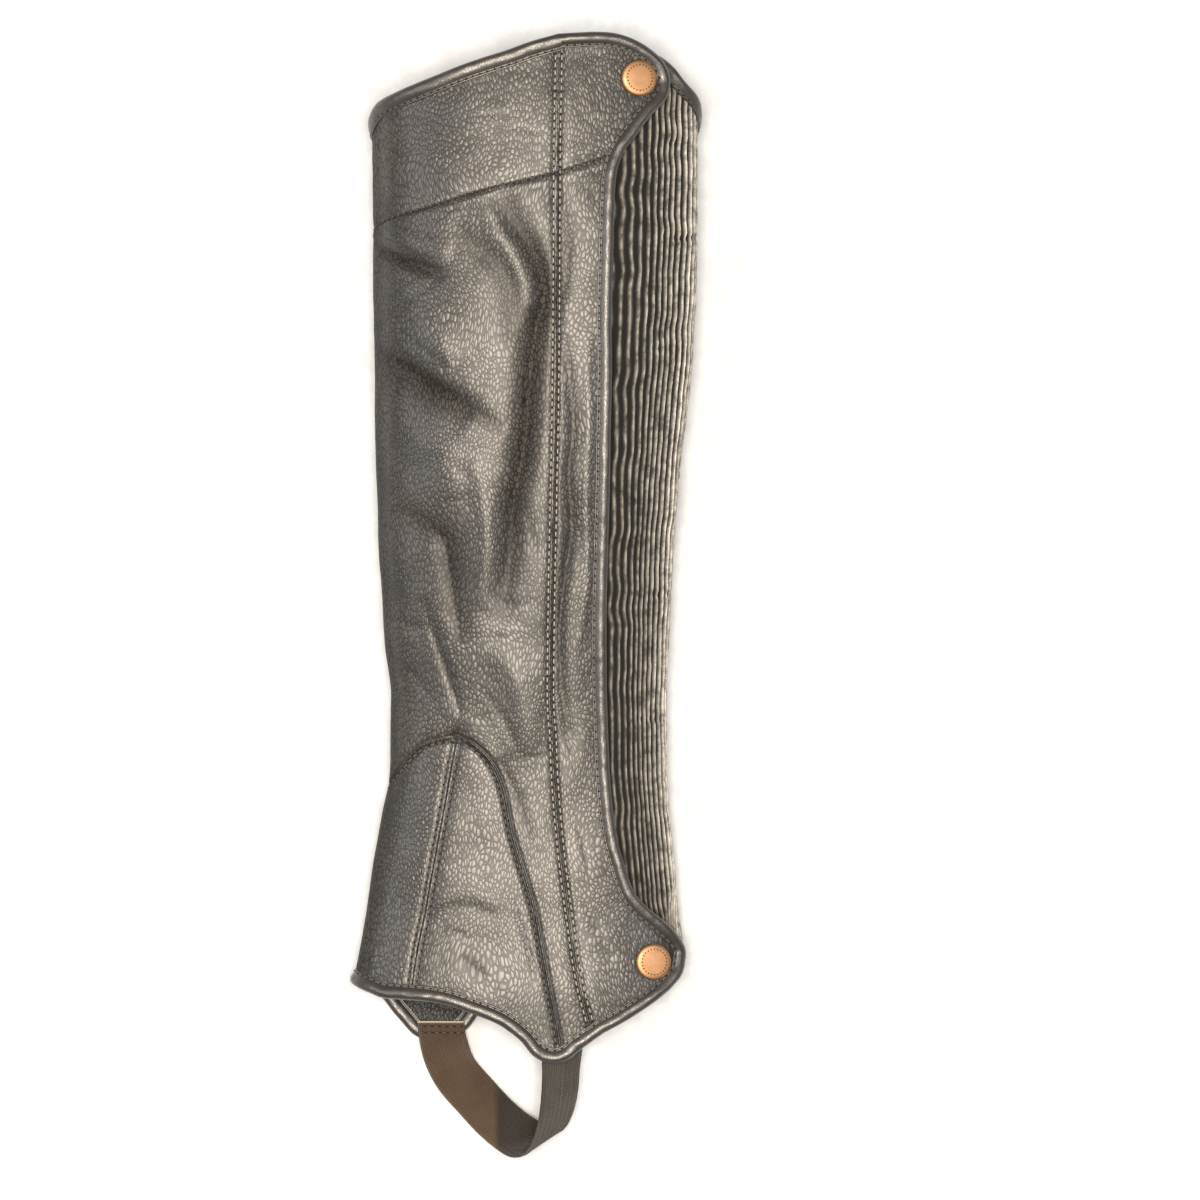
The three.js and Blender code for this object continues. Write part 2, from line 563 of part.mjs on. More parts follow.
function shinPanel() {
  const across = SHIN_COLUMNS + TONGUE_COLUMNS;
  const top = stretch(topRoute, 0, shinHead, across, EDGE_INSET);
  const peakRow = steps(TONGUE_COLUMNS).map((s) => {
    const from = seamNode(shinPeak.down, -halfGap);
    return node(between(from.angle, shinPeak.angle, s), shinPeak.down);
  });
  const limb = stretch(leftSeamRoute, 0, 1, SHIN_COLUMNS, -halfGap).slice(1);
  const bottom = [...peakRow, ...limb];
  const lastTop = top[across];
  const lastBottom = bottom[across];
  const seamSide = steps(SHIN_ROWS).map((t) => seamNode(between(top[0].down, shinPeak.down, t), -halfGap));
  seamSide[0] = top[0];
  const underSide = steps(SHIN_ROWS).map((t) => (
    node(between(lastTop.angle, lastBottom.angle, t), between(lastTop.down, lastBottom.down, t))));
  const tongueFoot = stretch(bottomRoute, 0, rightSeamFoot - nip, TONGUE_COLUMNS, -EDGE_INSET);
  const tongueSeam = steps(TONGUE_ROWS).map((t) => (
    seamNode(between(shinPeak.down, tongueFoot[0].down, t), -halfGap)));
  tongueSeam[TONGUE_ROWS] = tongueFoot[0];
  const tongueLimb = stretch(rightSeamRoute, 0, 1, TONGUE_ROWS, halfGap);
  tongueLimb[0] = shinPeak;
  tongueLimb[TONGUE_ROWS] = tongueFoot[TONGUE_COLUMNS];
  const grids = [
    patch(top, bottom, seamSide, underSide),
    patch(peakRow, tongueFoot, tongueSeam, tongueLimb),
  ];
  return { grids, top, foot: tongueFoot };
}

function instepSide() {
  const shareAt = (k) => k / TONGUE_ROWS;
  const topRows = TONGUE_ROWS - DART_ROWS;
  const top = steps(topRows).map((s, i) => rightSeamRoute.aside(shareAt(topRows - i), -halfGap));
  top[topRows] = sidePeak;
  const foot = stretch(bottomRoute, rightSeamFoot + nip, dartFoot - nip, topRows, -EDGE_INSET);
  const limb = steps(DART_ROWS).map((t, j) => rightSeamRoute.aside(shareAt(topRows + j), -halfGap));
  limb[DART_ROWS] = foot[0];
  const dart = stretch(dartRoute, 0, 1, DART_ROWS, halfGap);
  dart[0] = sidePeak;
  dart[DART_ROWS] = foot[topRows];
  return { grids: [patch(top, foot, limb, dart)], foot };
}

function instepFront() {
  const top = stretch(leftSeamRoute, 0, 1, SHIN_COLUMNS, halfGap);
  top[0] = frontPeak;
  const foot = stretch(bottomRoute, dartFoot + nip, shinFoot - nip, SHIN_COLUMNS, -EDGE_INSET);
  const dart = stretch(dartRoute, 0, 1, DART_ROWS, -halfGap);
  dart[0] = frontPeak;
  dart[DART_ROWS] = foot[0];
  const lastTop = top[SHIN_COLUMNS];
  const lastFoot = foot[SHIN_COLUMNS];
  const under = steps(DART_ROWS).map((t) => (
    node(between(lastTop.angle, lastFoot.angle, t), between(lastTop.down, lastFoot.down, t))));
  return { grids: [patch(top, foot, dart, under)], foot };
}

function medialPanel() {
  const top = stretch(topRoute, shinHead + SEAM_GAP / topRoute.length, 1, MEDIAL_COLUMNS, EDGE_INSET);
  const foot = stretch(bottomRoute, shinFoot + nip, 1, MEDIAL_COLUMNS, -EDGE_INSET);
  const side = (from, to) => steps(MEDIAL_ROWS).map((t) => (
    node(between(from.angle, to.angle, t), between(from.down, to.down, t))));
  const shinSide = side(top[0], foot[0]);
  const calfSide = side(top[MEDIAL_COLUMNS], foot[MEDIAL_COLUMNS]);
  return { grids: [patch(top, foot, shinSide, calfSide)], top, foot };
}

function rearStrip() {
  const cornerShare = flapRoute.shareNear(topNodes([FLAP_CORNER])[0]);
  const footShare = flapRoute.shareOfDown(STRIP_FOOT_DOWN);
  const clear = 3 / flapRoute.length;
  const top = stretch(flapRoute, cornerShare, 1, STRIP_COLUMNS, EDGE_INSET);
  const edge = FLAP_OUTLINE.slice(1).map((row) => flapRoute.shareNear(topNodes([row])[0]))
    .filter((share) => share > footShare + clear && share < cornerShare - clear)
    .map((share) => flapRoute.aside(share, EDGE_INSET));
  const calfSide = [top[0], ...edge, flapRoute.aside(footShare, EDGE_INSET)];
  const shinSide = calfSide.map((spot) => seamNode(spot.down, halfGap));
  shinSide[0] = top[STRIP_COLUMNS];
  const first = calfSide[calfSide.length - 1];
  const last = shinSide[shinSide.length - 1];
  const foot = steps(STRIP_COLUMNS).map((s) => node(between(first.angle, last.angle, s), first.down));
  const tail = stretch(flapRoute, 0, footShare, 3, EDGE_INSET).slice(0, 3);
  const rim = [...tail, ...[...calfSide].reverse(), ...top.slice(1)];
  return { grids: [patch(top, foot, calfSide, shinSide)], rim };
}

// The ribbed panel: one ridge for every other column
function backPanel() {
  const middleDown = 35;
  const closing = closingNode(middleDown, -BACK_INSET).angle;
  const arc = steps(60).map((share) => middle(between(backCalfAngle, closing, share), middleDown));
  const girth = arc.reduce((sum, point, i) => sum + (i ? point.distanceTo(arc[i - 1]) : 0), 0);
  const columns = 2 * Math.round(girth / RIB_PITCH);
  const top = stretch(backTopRoute, 0, 1, columns, EDGE_INSET);
  const foot = stretch(backBottomRoute, 0, 1, columns, 0);
  const calfSide = steps(BACK_ROWS).map((t) => (
    angleNode(backCalfAngle, between(top[0].down, foot[0].down, t), SEAM_GAP)));
  calfSide[0] = top[0];
  calfSide[BACK_ROWS] = foot[0];
  const closingSide = steps(BACK_ROWS).map((t) => (
    closingNode(between(top[columns].down, foot[columns].down, t), -BACK_INSET)));
  const isRidge = (spot) => Math.round(spot.s * columns) % 2 === 1;
  const outer = (spot) => (isRidge(spot) ? HALF_LEATHER : HALF_LEATHER - RIB_HEIGHT);
  const inner = () => -backBelow;
  return wall([patch(top, foot, calfSide, closingSide)], outer, inner, backSkin);
}

// The closed zip: it slopes from under the strip's leather down to the ribbed panel's edge
function zip() {
  const line = (mm) => steps(ZIP_ROWS).map((t) => closingNode(between(ZIP_TOP_DOWN, ZIP_FOOT_DOWN, t), mm));
  const calfSide = line(-BACK_INSET - SEAM_GAP);
  const shinSide = line(-BACK_INSET - SEAM_GAP - ZIP_WIDTH);
  const row = (a, b) => steps(2).map((s) => node(between(a.angle, b.angle, s), between(a.down, b.down, s)));
  const head = row(calfSide[0], shinSide[0]);
  const foot = row(calfSide[ZIP_ROWS], shinSide[ZIP_ROWS]);
  const grid = patch(head, foot, calfSide, shinSide);
  const high = -HALF_LEATHER - SEAM_GAP;
  const low = HALF_LEATHER - BACK_DROP;
  const outer = (spot) => between(low, high, spot.s);
  return wall([grid], outer, (spot) => outer(spot) - ZIP_THICKNESS);
}

function strap() {
  const under = HALF_LEATHER + BINDING_GAP + BINDING_LEATHER + SNAP_GAP + STRAP_THICKNESS / 2;
  const lowEnd = skin(underAngle(STRAP[0].ax, STRAP[0].ay), STRAP[0].ay, -under).z;
  const upEnd = STRAP[STRAP.length - 1];
  const topEnd = skin(upperAngle(upEnd.bx, upEnd.by), upEnd.by, -under).z;
  const shinEdge = [];
  const calfEdge = [];
  for (const row of STRAP) {
    const height = between(lowEnd, topEnd, row.rise * PERCENT);
    const a = new THREE.Vector3(acrossToX(row.ax), downToY(row.ay), height);
    const b = new THREE.Vector3(acrossToX(row.bx), downToY(row.by), a.z);
    const flat = Math.min(a.distanceTo(b), STRAP_WIDTH);
    b.z -= Math.sqrt(STRAP_WIDTH * STRAP_WIDTH - flat * flat);
    shinEdge.push(a);
    calfEdge.push(b);
  }
  const curveA = new THREE.CatmullRomCurve3(shinEdge, false, 'centripetal');
  const curveB = new THREE.CatmullRomCurve3(calfEdge, false, 'centripetal');
  const middleAt = (share) => curveA.getPoint(share).add(curveB.getPoint(share)).multiplyScalar(0.5);
  const rings = steps(STRAP_STEPS).map((share) => {
    const centre = middleAt(share);
    const ahead = middleAt(Math.min(share + 0.01, 1)).sub(middleAt(Math.max(share - 0.01, 0)));
    const wide = curveB.getPoint(share).sub(curveA.getPoint(share)).normalize();
    const thick = new THREE.Vector3().crossVectors(ahead, wide).normalize();
    const width = wide.multiplyScalar(STRAP_WIDTH / 2);
    const half = thick.multiplyScalar(STRAP_THICKNESS / 2);
    return [
      centre.clone().sub(width).sub(half), centre.clone().add(width).sub(half),
      centre.clone().add(width).add(half), centre.clone().sub(width).add(half),
    ];
  });
  const outline = [[-1, -1], [1, -1], [1, 1], [-1, 1]].map(([x, y]) => new THREE.Vector2(x, y));
  return sweep(rings, outline);
}

// A round piece turned about its own axis, which stands on the leather at the snap
function turned(profile, snap, out) {
  const angle = upperAngle(snap.across, snap.down);
  const { normal } = slopes(angle, snap.down);
  const geometry = new THREE.LatheGeometry(profile.map(([r, h]) => new THREE.Vector2(r, h)), 20);
  const mesh = new THREE.Mesh(geometry);
  mesh.position.copy(skin(angle, snap.down, out));
  mesh.quaternion.setFromUnitVectors(new THREE.Vector3(0, 1, 0), normal);
  return mesh;
}

function snapCap(snap) {
  const radius = SNAP_DIAMETER / 2;
  const profile = [
    [0, 0], [radius, 0], [radius, SNAP_HEIGHT * 0.4], [radius * 0.9, SNAP_HEIGHT * 0.62],
    [radius * 0.72, SNAP_HEIGHT * 0.55], [radius * 0.6, SNAP_HEIGHT * 0.8], [0, SNAP_HEIGHT],
  ];
  return turned(profile, snap, HALF_LEATHER + SNAP_GAP);
}

function snapStud(snap) {
  const radius = STUD_DIAMETER / 2;
  const height = BACK_DROP - LEATHER - 2 * SNAP_GAP - STUD_PLAY;
  const profile = [[0, 0], [radius, 0], [radius, height], [0, height]];
  return turned(profile, snap, -HALF_LEATHER - SNAP_GAP - STUD_PLAY - height);
}

const group = new THREE.Group();
function add(name, shape, look) {
  const mesh = shape.isMesh ? shape : new THREE.Mesh(shape);
  mesh.name = name;
  mesh.material = new THREE.MeshStandardMaterial(look);
  group.add(mesh);
}

const leather = (panel) => wall(panel.grids, () => HALF_LEATHER, () => -HALF_LEATHER);
const shin = shinPanel();
const side = instepSide();
const front = instepFront();
const medial = medialPanel();
const strip = rearStrip();
const footEdge = [...shin.foot, ...side.foot, ...front.foot, ...medial.foot].reverse();
const backEdge = stretch(backTopRoute, 0, 1, BACK_EDGE_STEPS, EDGE_INSET);

add('shin_panel', leather(shin), LEATHER_LOOK);
add('rear_strip', leather(strip), LEATHER_LOOK);
add('instep_side', leather(side), LEATHER_LOOK);
add('instep_front', leather(front), LEATHER_LOOK);
add('medial_panel', leather(medial), LEATHER_LOOK);
add('back_panel', backPanel(), BACK_LOOK);
add('top_binding', binding([...shin.top, ...medial.top]), BINDING_LOOK);
add('flap_binding', binding(strip.rim), BINDING_LOOK);
add('bottom_binding', binding(footEdge), BINDING_LOOK);
add('back_binding', binding(backEdge, backSkin, HALF_LEATHER, backBelow), BINDING_LOOK);
add('zip', zip(), ZIP_LOOK);
add('stirrup_strap', strap(), STRAP_LOOK);
for (const snap of SNAPS) {
  add(`snap_cap_${snap.name}`, snapCap(snap), SNAP_LOOK);
  add(`snap_stud_${snap.name}`, snapStud(snap), SNAP_LOOK);
}

// The origin is under the middle of the whole chap, on the surface it lies on
group.updateMatrixWorld(true);
const box = new THREE.Box3().setFromObject(group, true);
const centre = box.getCenter(new THREE.Vector3()).setZ(box.min.z);
for (const mesh of group.children) {
  mesh.position.sub(centre);
}

export default group;
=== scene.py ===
import bpy
import numpy as np
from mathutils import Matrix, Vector


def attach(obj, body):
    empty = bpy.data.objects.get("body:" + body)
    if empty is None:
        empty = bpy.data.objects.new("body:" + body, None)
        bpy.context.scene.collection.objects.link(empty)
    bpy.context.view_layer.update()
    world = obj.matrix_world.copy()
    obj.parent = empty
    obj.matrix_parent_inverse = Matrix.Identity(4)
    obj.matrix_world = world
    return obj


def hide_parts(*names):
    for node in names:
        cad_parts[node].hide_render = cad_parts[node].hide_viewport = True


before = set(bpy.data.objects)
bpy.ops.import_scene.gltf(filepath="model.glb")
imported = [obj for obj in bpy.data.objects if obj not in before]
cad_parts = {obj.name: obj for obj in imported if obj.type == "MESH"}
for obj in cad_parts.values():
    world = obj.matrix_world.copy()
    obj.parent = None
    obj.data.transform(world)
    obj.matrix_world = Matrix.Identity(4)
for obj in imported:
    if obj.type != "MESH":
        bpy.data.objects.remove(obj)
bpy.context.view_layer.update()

# Shin panel: the largest piece of leather, folded round the shin, with a tongue down to the foot point.
# Pebbled full-grain cowhide 1.6 mm thick, cut flat, sewn to its neighbours and creased by wear.
# It also brings the form of the whole leg, which every other panel follows, in millimetres.
CHAP_HEIGHT = 440.0
CHAP_WIDTH = 150.0
CALF_DEPTH = 56.0
WAIST_SHARE = 0.42
SIDE_FULLNESS = 0.25
UNDER_PRESS = 1.4
PRESS_SOFTNESS = 2.5
LEATHER = 1.6
HALF_LEATHER = LEATHER / 2
BINDING_LEATHER = 1.2
BINDING_GAP = 0.4
EDGE_INSET = BINDING_LEATHER + BINDING_GAP
SEAM_GAP = 0.16
JOIN_GAP = 0.1
SHIN_SEAM_ANGLE = 4.0
CALF_SEAM_ANGLE = 5.4
TURN = 2 * np.pi
# Where the knee edge lies on the inner-leg side, in percent down
KNEE_EDGE = 8.4
# Where the foot edge meets the calf seam on the inner-leg side, in percent down
HEEL_EDGE = 89.2
# Where the three instep seams meet, across and down in percent
INSTEP_PEAK = (30.3, 68.3)
# The frame's origin lies under the middle of the whole chap
shift = np.array([-0.1154, -21.6367, 0.0])

# Height down the leg, shin fold and calf fold across it, and depth, all in percent
SECTIONS = np.array([
    (0, 5.4, 99.7, 98), (8, 5.7, 99.4, 100), (18, 6.0, 99.4, 100), (29.7, 6.3, 98.3, 96),
    (41.5, 6.9, 94.6, 90), (50.3, 7.7, 92.6, 82), (59.1, 9.4, 91.3, 74), (65, 10.9, 90.6, 68),
    (70.8, 10.6, 90.6, 64), (76.7, 8.0, 91.7, 62), (82.6, 5.1, 93.4, 61), (87.5, 2.9, 96.0, 60),
    (92.4, 0.3, 97.4, 60), (100, -2.9, 97.4, 58),
])

# Folds as width and height in millimetres, then points across and down in percent. A height below
# zero is a crease or valley.
FOLDS = [
    (2.4, -2.2, [(5.7, 20.5), (10.9, 21.1), (16.0, 22.0), (21.1, 22.7), (27.7, 23.5)]),
    (5.0, 0.9, [(7.0, 19.0), (14.0, 19.6), (22.0, 20.6), (29.0, 21.4)]),
    (1.3, -0.6, [(8.3, 28.4), (15.7, 26.0), (21.1, 24.8), (28.1, 23.2)]),
    (2.6, -1.9, [(7.3, 30.2), (15.1, 32.0), (22.0, 33.6), (32.9, 36.0), (44.0, 38.6)]),
    (6.5, -1.3, [(8.3, 32.0), (22.0, 34.9), (34.0, 37.6)]),
    (5.6, -2.9, [(42.3, 15.2), (47.1, 18.5), (51.7, 20.8), (54.6, 23.4), (55.4, 25.8), (52.9, 29.1),
                 (51.2, 34.2), (50.2, 38.6), (48.4, 42.5), (46.2, 46.4), (46.0, 48.3), (45.0, 52.1),
                 (43.0, 57.4)]),
    (4.0, 0.9, [(36.4, 15.5), (41.5, 18.8), (46.0, 21.2), (50.0, 24.0), (51.8, 27.0)]),
    (7.0, -1.3, [(29.7, 18.0), (36.0, 20.8), (42.6, 22.4), (46.0, 24.9), (45.4, 29.8)]),
    (6.0, -1.7, [(12.7, 45.8), (20.9, 47.4), (26.9, 48.9), (28.6, 52.4), (30.2, 55.9), (31.6, 59.2)]),
    (1.8, -1.0, [(20.7, 54.6), (23.7, 57.9), (26.0, 60.2), (28.3, 62.5), (31.6, 66.2)]),
    (4.5, 1.0, [(35.6, 41.0), (38.6, 45.9), (39.4, 49.9), (37.0, 55.6)]),
    (3.0, -1.5, [(61.0, 29.0), (62.9, 34.6), (63.4, 38.6), (62.3, 42.5), (63.1, 47.9), (61.4, 52.1),
                 (59.8, 57.3), (60.2, 62.9), (63.6, 70.5)]),
    (2.4, 0.7, [(67.6, 29.0), (68.3, 37.0), (67.4, 45.0), (67.7, 52.0), (65.0, 60.0)]),
    (2.4, -0.45, [(20.3, 85.9), (27.4, 84.9), (35.1, 84.7), (42.1, 86.1)]),
    (2.6, -0.5, [(31.1, 89.6), (34.9, 90.8), (38.6, 91.4)]),
    (1.6, -0.5, [(11.0, 56.0), (17.1, 57.3), (22.1, 57.5)]),
    (4.0, -0.8, [(59.6, 15.0), (62.0, 20.0), (61.1, 26.0)]),
    (4.0, -0.7, [(42.3, 70.2), (47.1, 73.8), (51.5, 78.7)]),
    (7.0, 1.1, [(16.0, 24.0), (24.0, 29.5), (30.0, 32.0)]),
    (8.0, 0.9, [(17.0, 38.0), (26.0, 41.0), (30.0, 45.0)]),
    (6.0, 0.9, [(42.0, 59.0), (49.0, 64.0), (51.0, 70.0)]),
]

# Fine creases that the worn leather shows between the folds, in the same units
FINE_CREASES = [
    (0.6, -0.4, [(37, 7.9), (41, 8), (46, 8.2)]), (0.6, -0.35, [(46, 9), (50, 9.4), (54.5, 9.6)]),
    (0.9, -0.35, [(12, 25), (19, 25.6), (25, 27)]), (0.9, -0.3, [(14, 29.2), (22, 30.6), (29, 33)]),
    (1.0, -0.3, [(22, 41), (31, 42), (37, 44)]), (1.0, -0.35, [(38.5, 54), (45, 55.4), (52, 55)]),
    (0.9, -0.3, [(46, 44), (51, 47), (53, 51)]), (1.0, -0.35, [(15, 61), (22, 64), (26, 67)]),
    (0.9, -0.3, [(36, 63), (43, 66), (48, 70)]), (1.0, -0.3, [(20, 80), (14, 82), (11, 85)]),
    (1.0, -0.35, [(46, 84), (50, 88), (53, 92)]), (0.9, -0.3, [(23, 88), (29, 87.2), (35, 88.4)]),
    (0.9, -0.3, [(62, 75), (66, 78), (68, 82)]), (0.9, -0.3, [(66, 84), (72, 88), (76, 92)]),
]


def smooth_column(rows, column):
    """A curve through one column of a table, by cubic pieces whose slopes never overshoot."""
    at, value = rows[:, 0], rows[:, column]
    step = np.diff(value) / np.diff(at)
    slope = np.zeros(len(at))
    same = step[1:] * step[:-1] > 0
    both = np.where(same, step[1:] + step[:-1], 1)
    slope[1:-1] = np.where(same, 2 * step[1:] * step[:-1] / both, 0)

    def curve(down):
        """Hermite cubic: values and slopes at both ends of the piece, blended."""
        down = np.clip(down, at[0], at[-1])
        i = np.clip(np.searchsorted(at, down) - 1, 0, len(at) - 2)
        span = at[i + 1] - at[i]
        t = (down - at[i]) / span
        rest = 1 - t
        return (value[i] * (1 + 2 * t) * rest ** 2 + slope[i] * span * t * rest ** 2
                + value[i + 1] * t ** 2 * (3 - 2 * t) - slope[i + 1] * span * t ** 2 * rest)
    return curve


shin_percent, calf_percent, deep_percent = (smooth_column(SECTIONS, column) for column in (1, 2, 3))


def across_to_x(across):
    """Millimetres from the middle, towards the calf, for a percent of the width."""
    return CHAP_WIDTH * (np.asarray(across) / 100 - 0.5)


def down_to_y(down):
    """Millimetres from the middle, towards the knee, for a percent of the height."""
    return CHAP_HEIGHT * (0.5 - np.asarray(down) / 100)


def smoothstep(value, low, high):
    """0 below low, 1 above high, and 3t^2 - 2t^3 between."""
    t = np.clip((value - low) / (high - low), 0, 1)
    return t * t * (3 - 2 * t)


def section(down):
    """The leg's section at a height: its middle, its half width, its widest line's height, and the
    height from there to the top."""
    shin = across_to_x(shin_percent(down)) + HALF_LEATHER
    calf = across_to_x(calf_percent(down)) - HALF_LEATHER
    deep = CALF_DEPTH * deep_percent(down) / 100
    waist = deep * WAIST_SHARE
    return (shin + calf) / 2, (calf - shin) / 2, waist, deep - HALF_LEATHER - waist


def middle(angle, down):
    """Middle of the leather. x is the half width times cos(angle); z swells with sin(angle) and a
    little more at the sides. Underneath, what would pass the floor is pressed flat on it."""
    angle, down = np.broadcast_arrays(angle, down)
    mid, half, waist, up = section(down)
    rise = np.sin(angle) * (1 + SIDE_FULLNESS * np.cos(angle) ** 2)
    z = waist + rise * np.where(rise > 0, up, waist * UNDER_PRESS)
    near_end = 1 - smoothstep(down, 10, 14) + smoothstep(down, 84, 88)
    floor = HALF_LEATHER + EDGE_INSET * near_end
    over = z - floor
    soft = np.maximum(over + PRESS_SOFTNESS, 0) ** 2 / (4 * PRESS_SOFTNESS)
    pressed = np.where(np.abs(over) > PRESS_SOFTNESS, np.maximum(over, 0), soft)
    return np.stack([mid + half * np.cos(angle), down_to_y(down), floor + pressed], -1)


def upper_angle(across, down):
    """The angle of the point that shows at a percent across, as the arc cosine of its share."""
    mid, half, _, _ = section(np.asarray(down, float))
    return np.arccos(np.clip((across_to_x(across) - mid) / half, -1, 1))


def catmull(points, per_span=40):
    """Centripetal Catmull-Rom: cubic pieces whose time step is the square root of each span."""
    points = np.asarray(points, float)
    ends = np.vstack([2 * points[0] - points[1], points, 2 * points[-1] - points[-2]])
    p0, p1, p2, p3 = ends[:-3], ends[1:-2], ends[2:-1], ends[3:]
    d0, d1, d2 = (np.sqrt(np.linalg.norm(b - a, axis=1))[:, None]
                  for a, b in ((p0, p1), (p1, p2), (p2, p3)))
    m1 = ((p1 - p0) / d0 - (p2 - p0) / (d0 + d1) + (p2 - p1) / d1) * d1
    m2 = ((p2 - p1) / d1 - (p3 - p1) / (d1 + d2) + (p3 - p2) / d2) * d1
    t = np.linspace(0, 1, per_span, endpoint=False)[None, :, None]
    p1, p2, m1, m2 = (a[:, None, :] for a in (p1, p2, m1, m2))
    curve = (p1 * (2 * t ** 3 - 3 * t ** 2 + 1) + m1 * (t ** 3 - 2 * t ** 2 + t)
             + p2 * (3 * t ** 2 - 2 * t ** 3) + m2 * (t ** 3 - t ** 2))
    return np.vstack([curve.reshape(-1, points.shape[1]), points[-1]])


def fold_lines(folds):
    """Each fold's width, height and curved line in plan, cut into short straight runs."""
    lines = []
    for width, height, points in folds:
        across, down = np.array(points, float).T
        line = catmull(np.stack([across_to_x(across), down_to_y(down)], 1), 4)
        lines.append((width, height, line[:-1], np.diff(line, axis=0)))
    return lines


def line_field(spot, lines):
    """Sum over folds of height times exp(-(distance / width)^p), fading out at each fold's ends.
    Ridges are round, with a p of 2, and creases sharp at the bottom, with a p of 1.3."""
    flat = spot[..., :2].reshape(-1, 2)
    total = np.zeros(len(flat))
    for width, height, starts, runs in lines:
        t = ((flat[:, None] - starts) * runs).sum(2) / (runs ** 2).sum(1)
        t = np.clip(t, 0, 1)
        away = np.linalg.norm(flat[:, None] - starts - t[..., None] * runs, axis=2)
        nearest = away.argmin(1)
        along = (nearest + np.take_along_axis(t, nearest[:, None], 1)[:, 0]) / len(runs)
        fade = np.sqrt(np.sin(np.pi * np.clip(along, 0, 1)))
        total += height * fade * np.exp(-(away.min(1) / width) ** (2 if height > 0 else 1.3))
    return total.reshape(spot.shape[:-1])


fold_runs, crease_runs = fold_lines(FOLDS), fold_lines(FINE_CREASES)


def slopes(angle, down):
    """Slopes of the surface per radian and per percent, and its outward normal."""
    around = (middle(angle + 0.01, down) - middle(angle - 0.01, down)) / 0.02
    along = (middle(angle, down + 0.15) - middle(angle, down - 0.15)) / 0.3
    normal = np.cross(around, along)
    return around, along, normal / np.linalg.norm(normal, axis=-1, keepdims=True)


def on_top(angle):
    """1 on the side that shows, fading to 0 round the shin and calf folds."""
    return smoothstep(np.sin(angle), 0.2, 0.55)


def skin(angle, down, out):
    """The middle surface moved out along its normal, with the folds added on the side that shows."""
    spot = middle(angle, down)
    return spot + slopes(angle, down)[2] * (out + line_field(spot, fold_runs) * on_top(angle))[..., None]


def side_step(spot, heading):
    """One millimetre on the surface, square to a heading and on its left, in angle and percent."""
    around, along, normal = slopes(spot[:, 0], spot[:, 1])
    ahead = around * heading[:, :1] + along * heading[:, 1:]
    side = np.cross(normal, ahead)
    side /= np.linalg.norm(side, axis=1, keepdims=True)
    rr, ra, aa = ((a * b).sum(1) for a, b in ((around, around), (around, along), (along, along)))
    sr, sa = (side * around).sum(1), (side * along).sum(1)
    return np.stack([sr * aa - sa * ra, sa * rr - sr * ra], 1) / (rr * aa - ra * ra)[:, None]


def run_along(points):
    """How far along a line each of its points lies."""
    return np.concatenate([[0], np.cumsum(np.linalg.norm(np.diff(points, axis=0), axis=1))])


class Route:
    """A smooth line on the leg through nodes of angle and percent, walked by share of its length."""
    scale = np.array([CHAP_WIDTH / 2, CHAP_HEIGHT / 100])

    def __init__(self, nodes):
        """The curve through the nodes, in millimetres, and how far along it each point lies."""
        self.dense = catmull(np.asarray(nodes, float) * self.scale)
        self.run = run_along(self.dense)
        self.length = self.run[-1]

    def at(self, share):
        """Angle and percent at a share of the length, from the nearest two points."""
        reach = np.clip(share, 0, 1) * self.length
        flat = np.stack([np.interp(reach, self.run, self.dense[:, k]) for k in (0, 1)], -1)
        return flat / self.scale

    def aside(self, share, out):
        """The line's points moved to its left by so many millimetres."""
        share = np.atleast_1d(share).astype(float)
        spot = self.at(share)
        heading = self.at(share + 0.004) - self.at(share - 0.004)
        return spot + np.reshape(out, (-1, 1)) * side_step(spot, heading)

    def share_of(self, column, value):
        """Share where the angle (0) passes a value going up, or the percent (1) going down."""
        sign = 1 if column == 0 else -1
        flat = self.dense[:, column] / self.scale[column]
        return self.run[np.argmax(flat * sign >= value * sign)] / self.length


def top_nodes(rows):
    """Across and down in percent, as angle and percent on the side that shows."""
    rows = np.asarray(rows, float)
    return np.stack([upper_angle(rows[:, 0], rows[:, 1]), rows[:, 1]], 1)


def under_nodes(rows):
    """The same on the side that the chap lies on."""
    nodes = top_nodes(rows)
    nodes[:, 0] = TURN - nodes[:, 0]
    return nodes


def angle_node(angle, down, out):
    """A point on a line of fixed angle, moved round the leg by so many millimetres."""
    around = slopes(np.array([angle]), np.array([down]))[0]
    return [angle + out / np.linalg.norm(around), down]


STRIP_SEAM = np.array([
    (59.6, 0.2), (59.1, 11.2), (58.9, 25.8), (58.6, 35.6), (58.0, 45.4), (57.4, 55.2), (57.1, 65.0),
    (57.7, 67.5), (58.3, 72.2), (60.3, 80.0), (62.6, 86.1), (65.4, 92.3), (68.6, 96.5), (69.3, 97.7),
])
TOP_OUTLINE = [(51.4, 1.0), (44.9, 1.8), (38.3, 2.5), (31.4, 3.3), (25.4, 4.1), (19.1, 4.9),
               (13.1, 5.7), (8.3, 6.5)]
BOTTOM_OUTLINE = [
    (69.3, 97.75), (65.1, 98.8), (62.3, 99.6), (58.3, 100), (54.9, 99.8), (52.0, 99.2), (48.9, 97.9),
    (45.4, 96.9), (42.3, 96.2), (38.3, 95.6), (33.4, 95.0), (28.3, 94.4), (22.3, 94.0), (14.3, 93.8),
    (9.1, 93.7), (4.9, 93.2),
]
BOTTOM_UNDER_OUTLINE = [(6.6, 93.6), (12.6, 96.0), (18.6, 98.0), (25.7, 98.2), (32.3, 97.3),
                        (37.5, 95.1), (48.6, 92.4), (65.7, 90.2)]
INSTEP_LEFT_SEAM = [INSTEP_PEAK, (25.7, 68.5), (21.1, 69.0), (16.6, 70.3), (12.6, 72.0)]
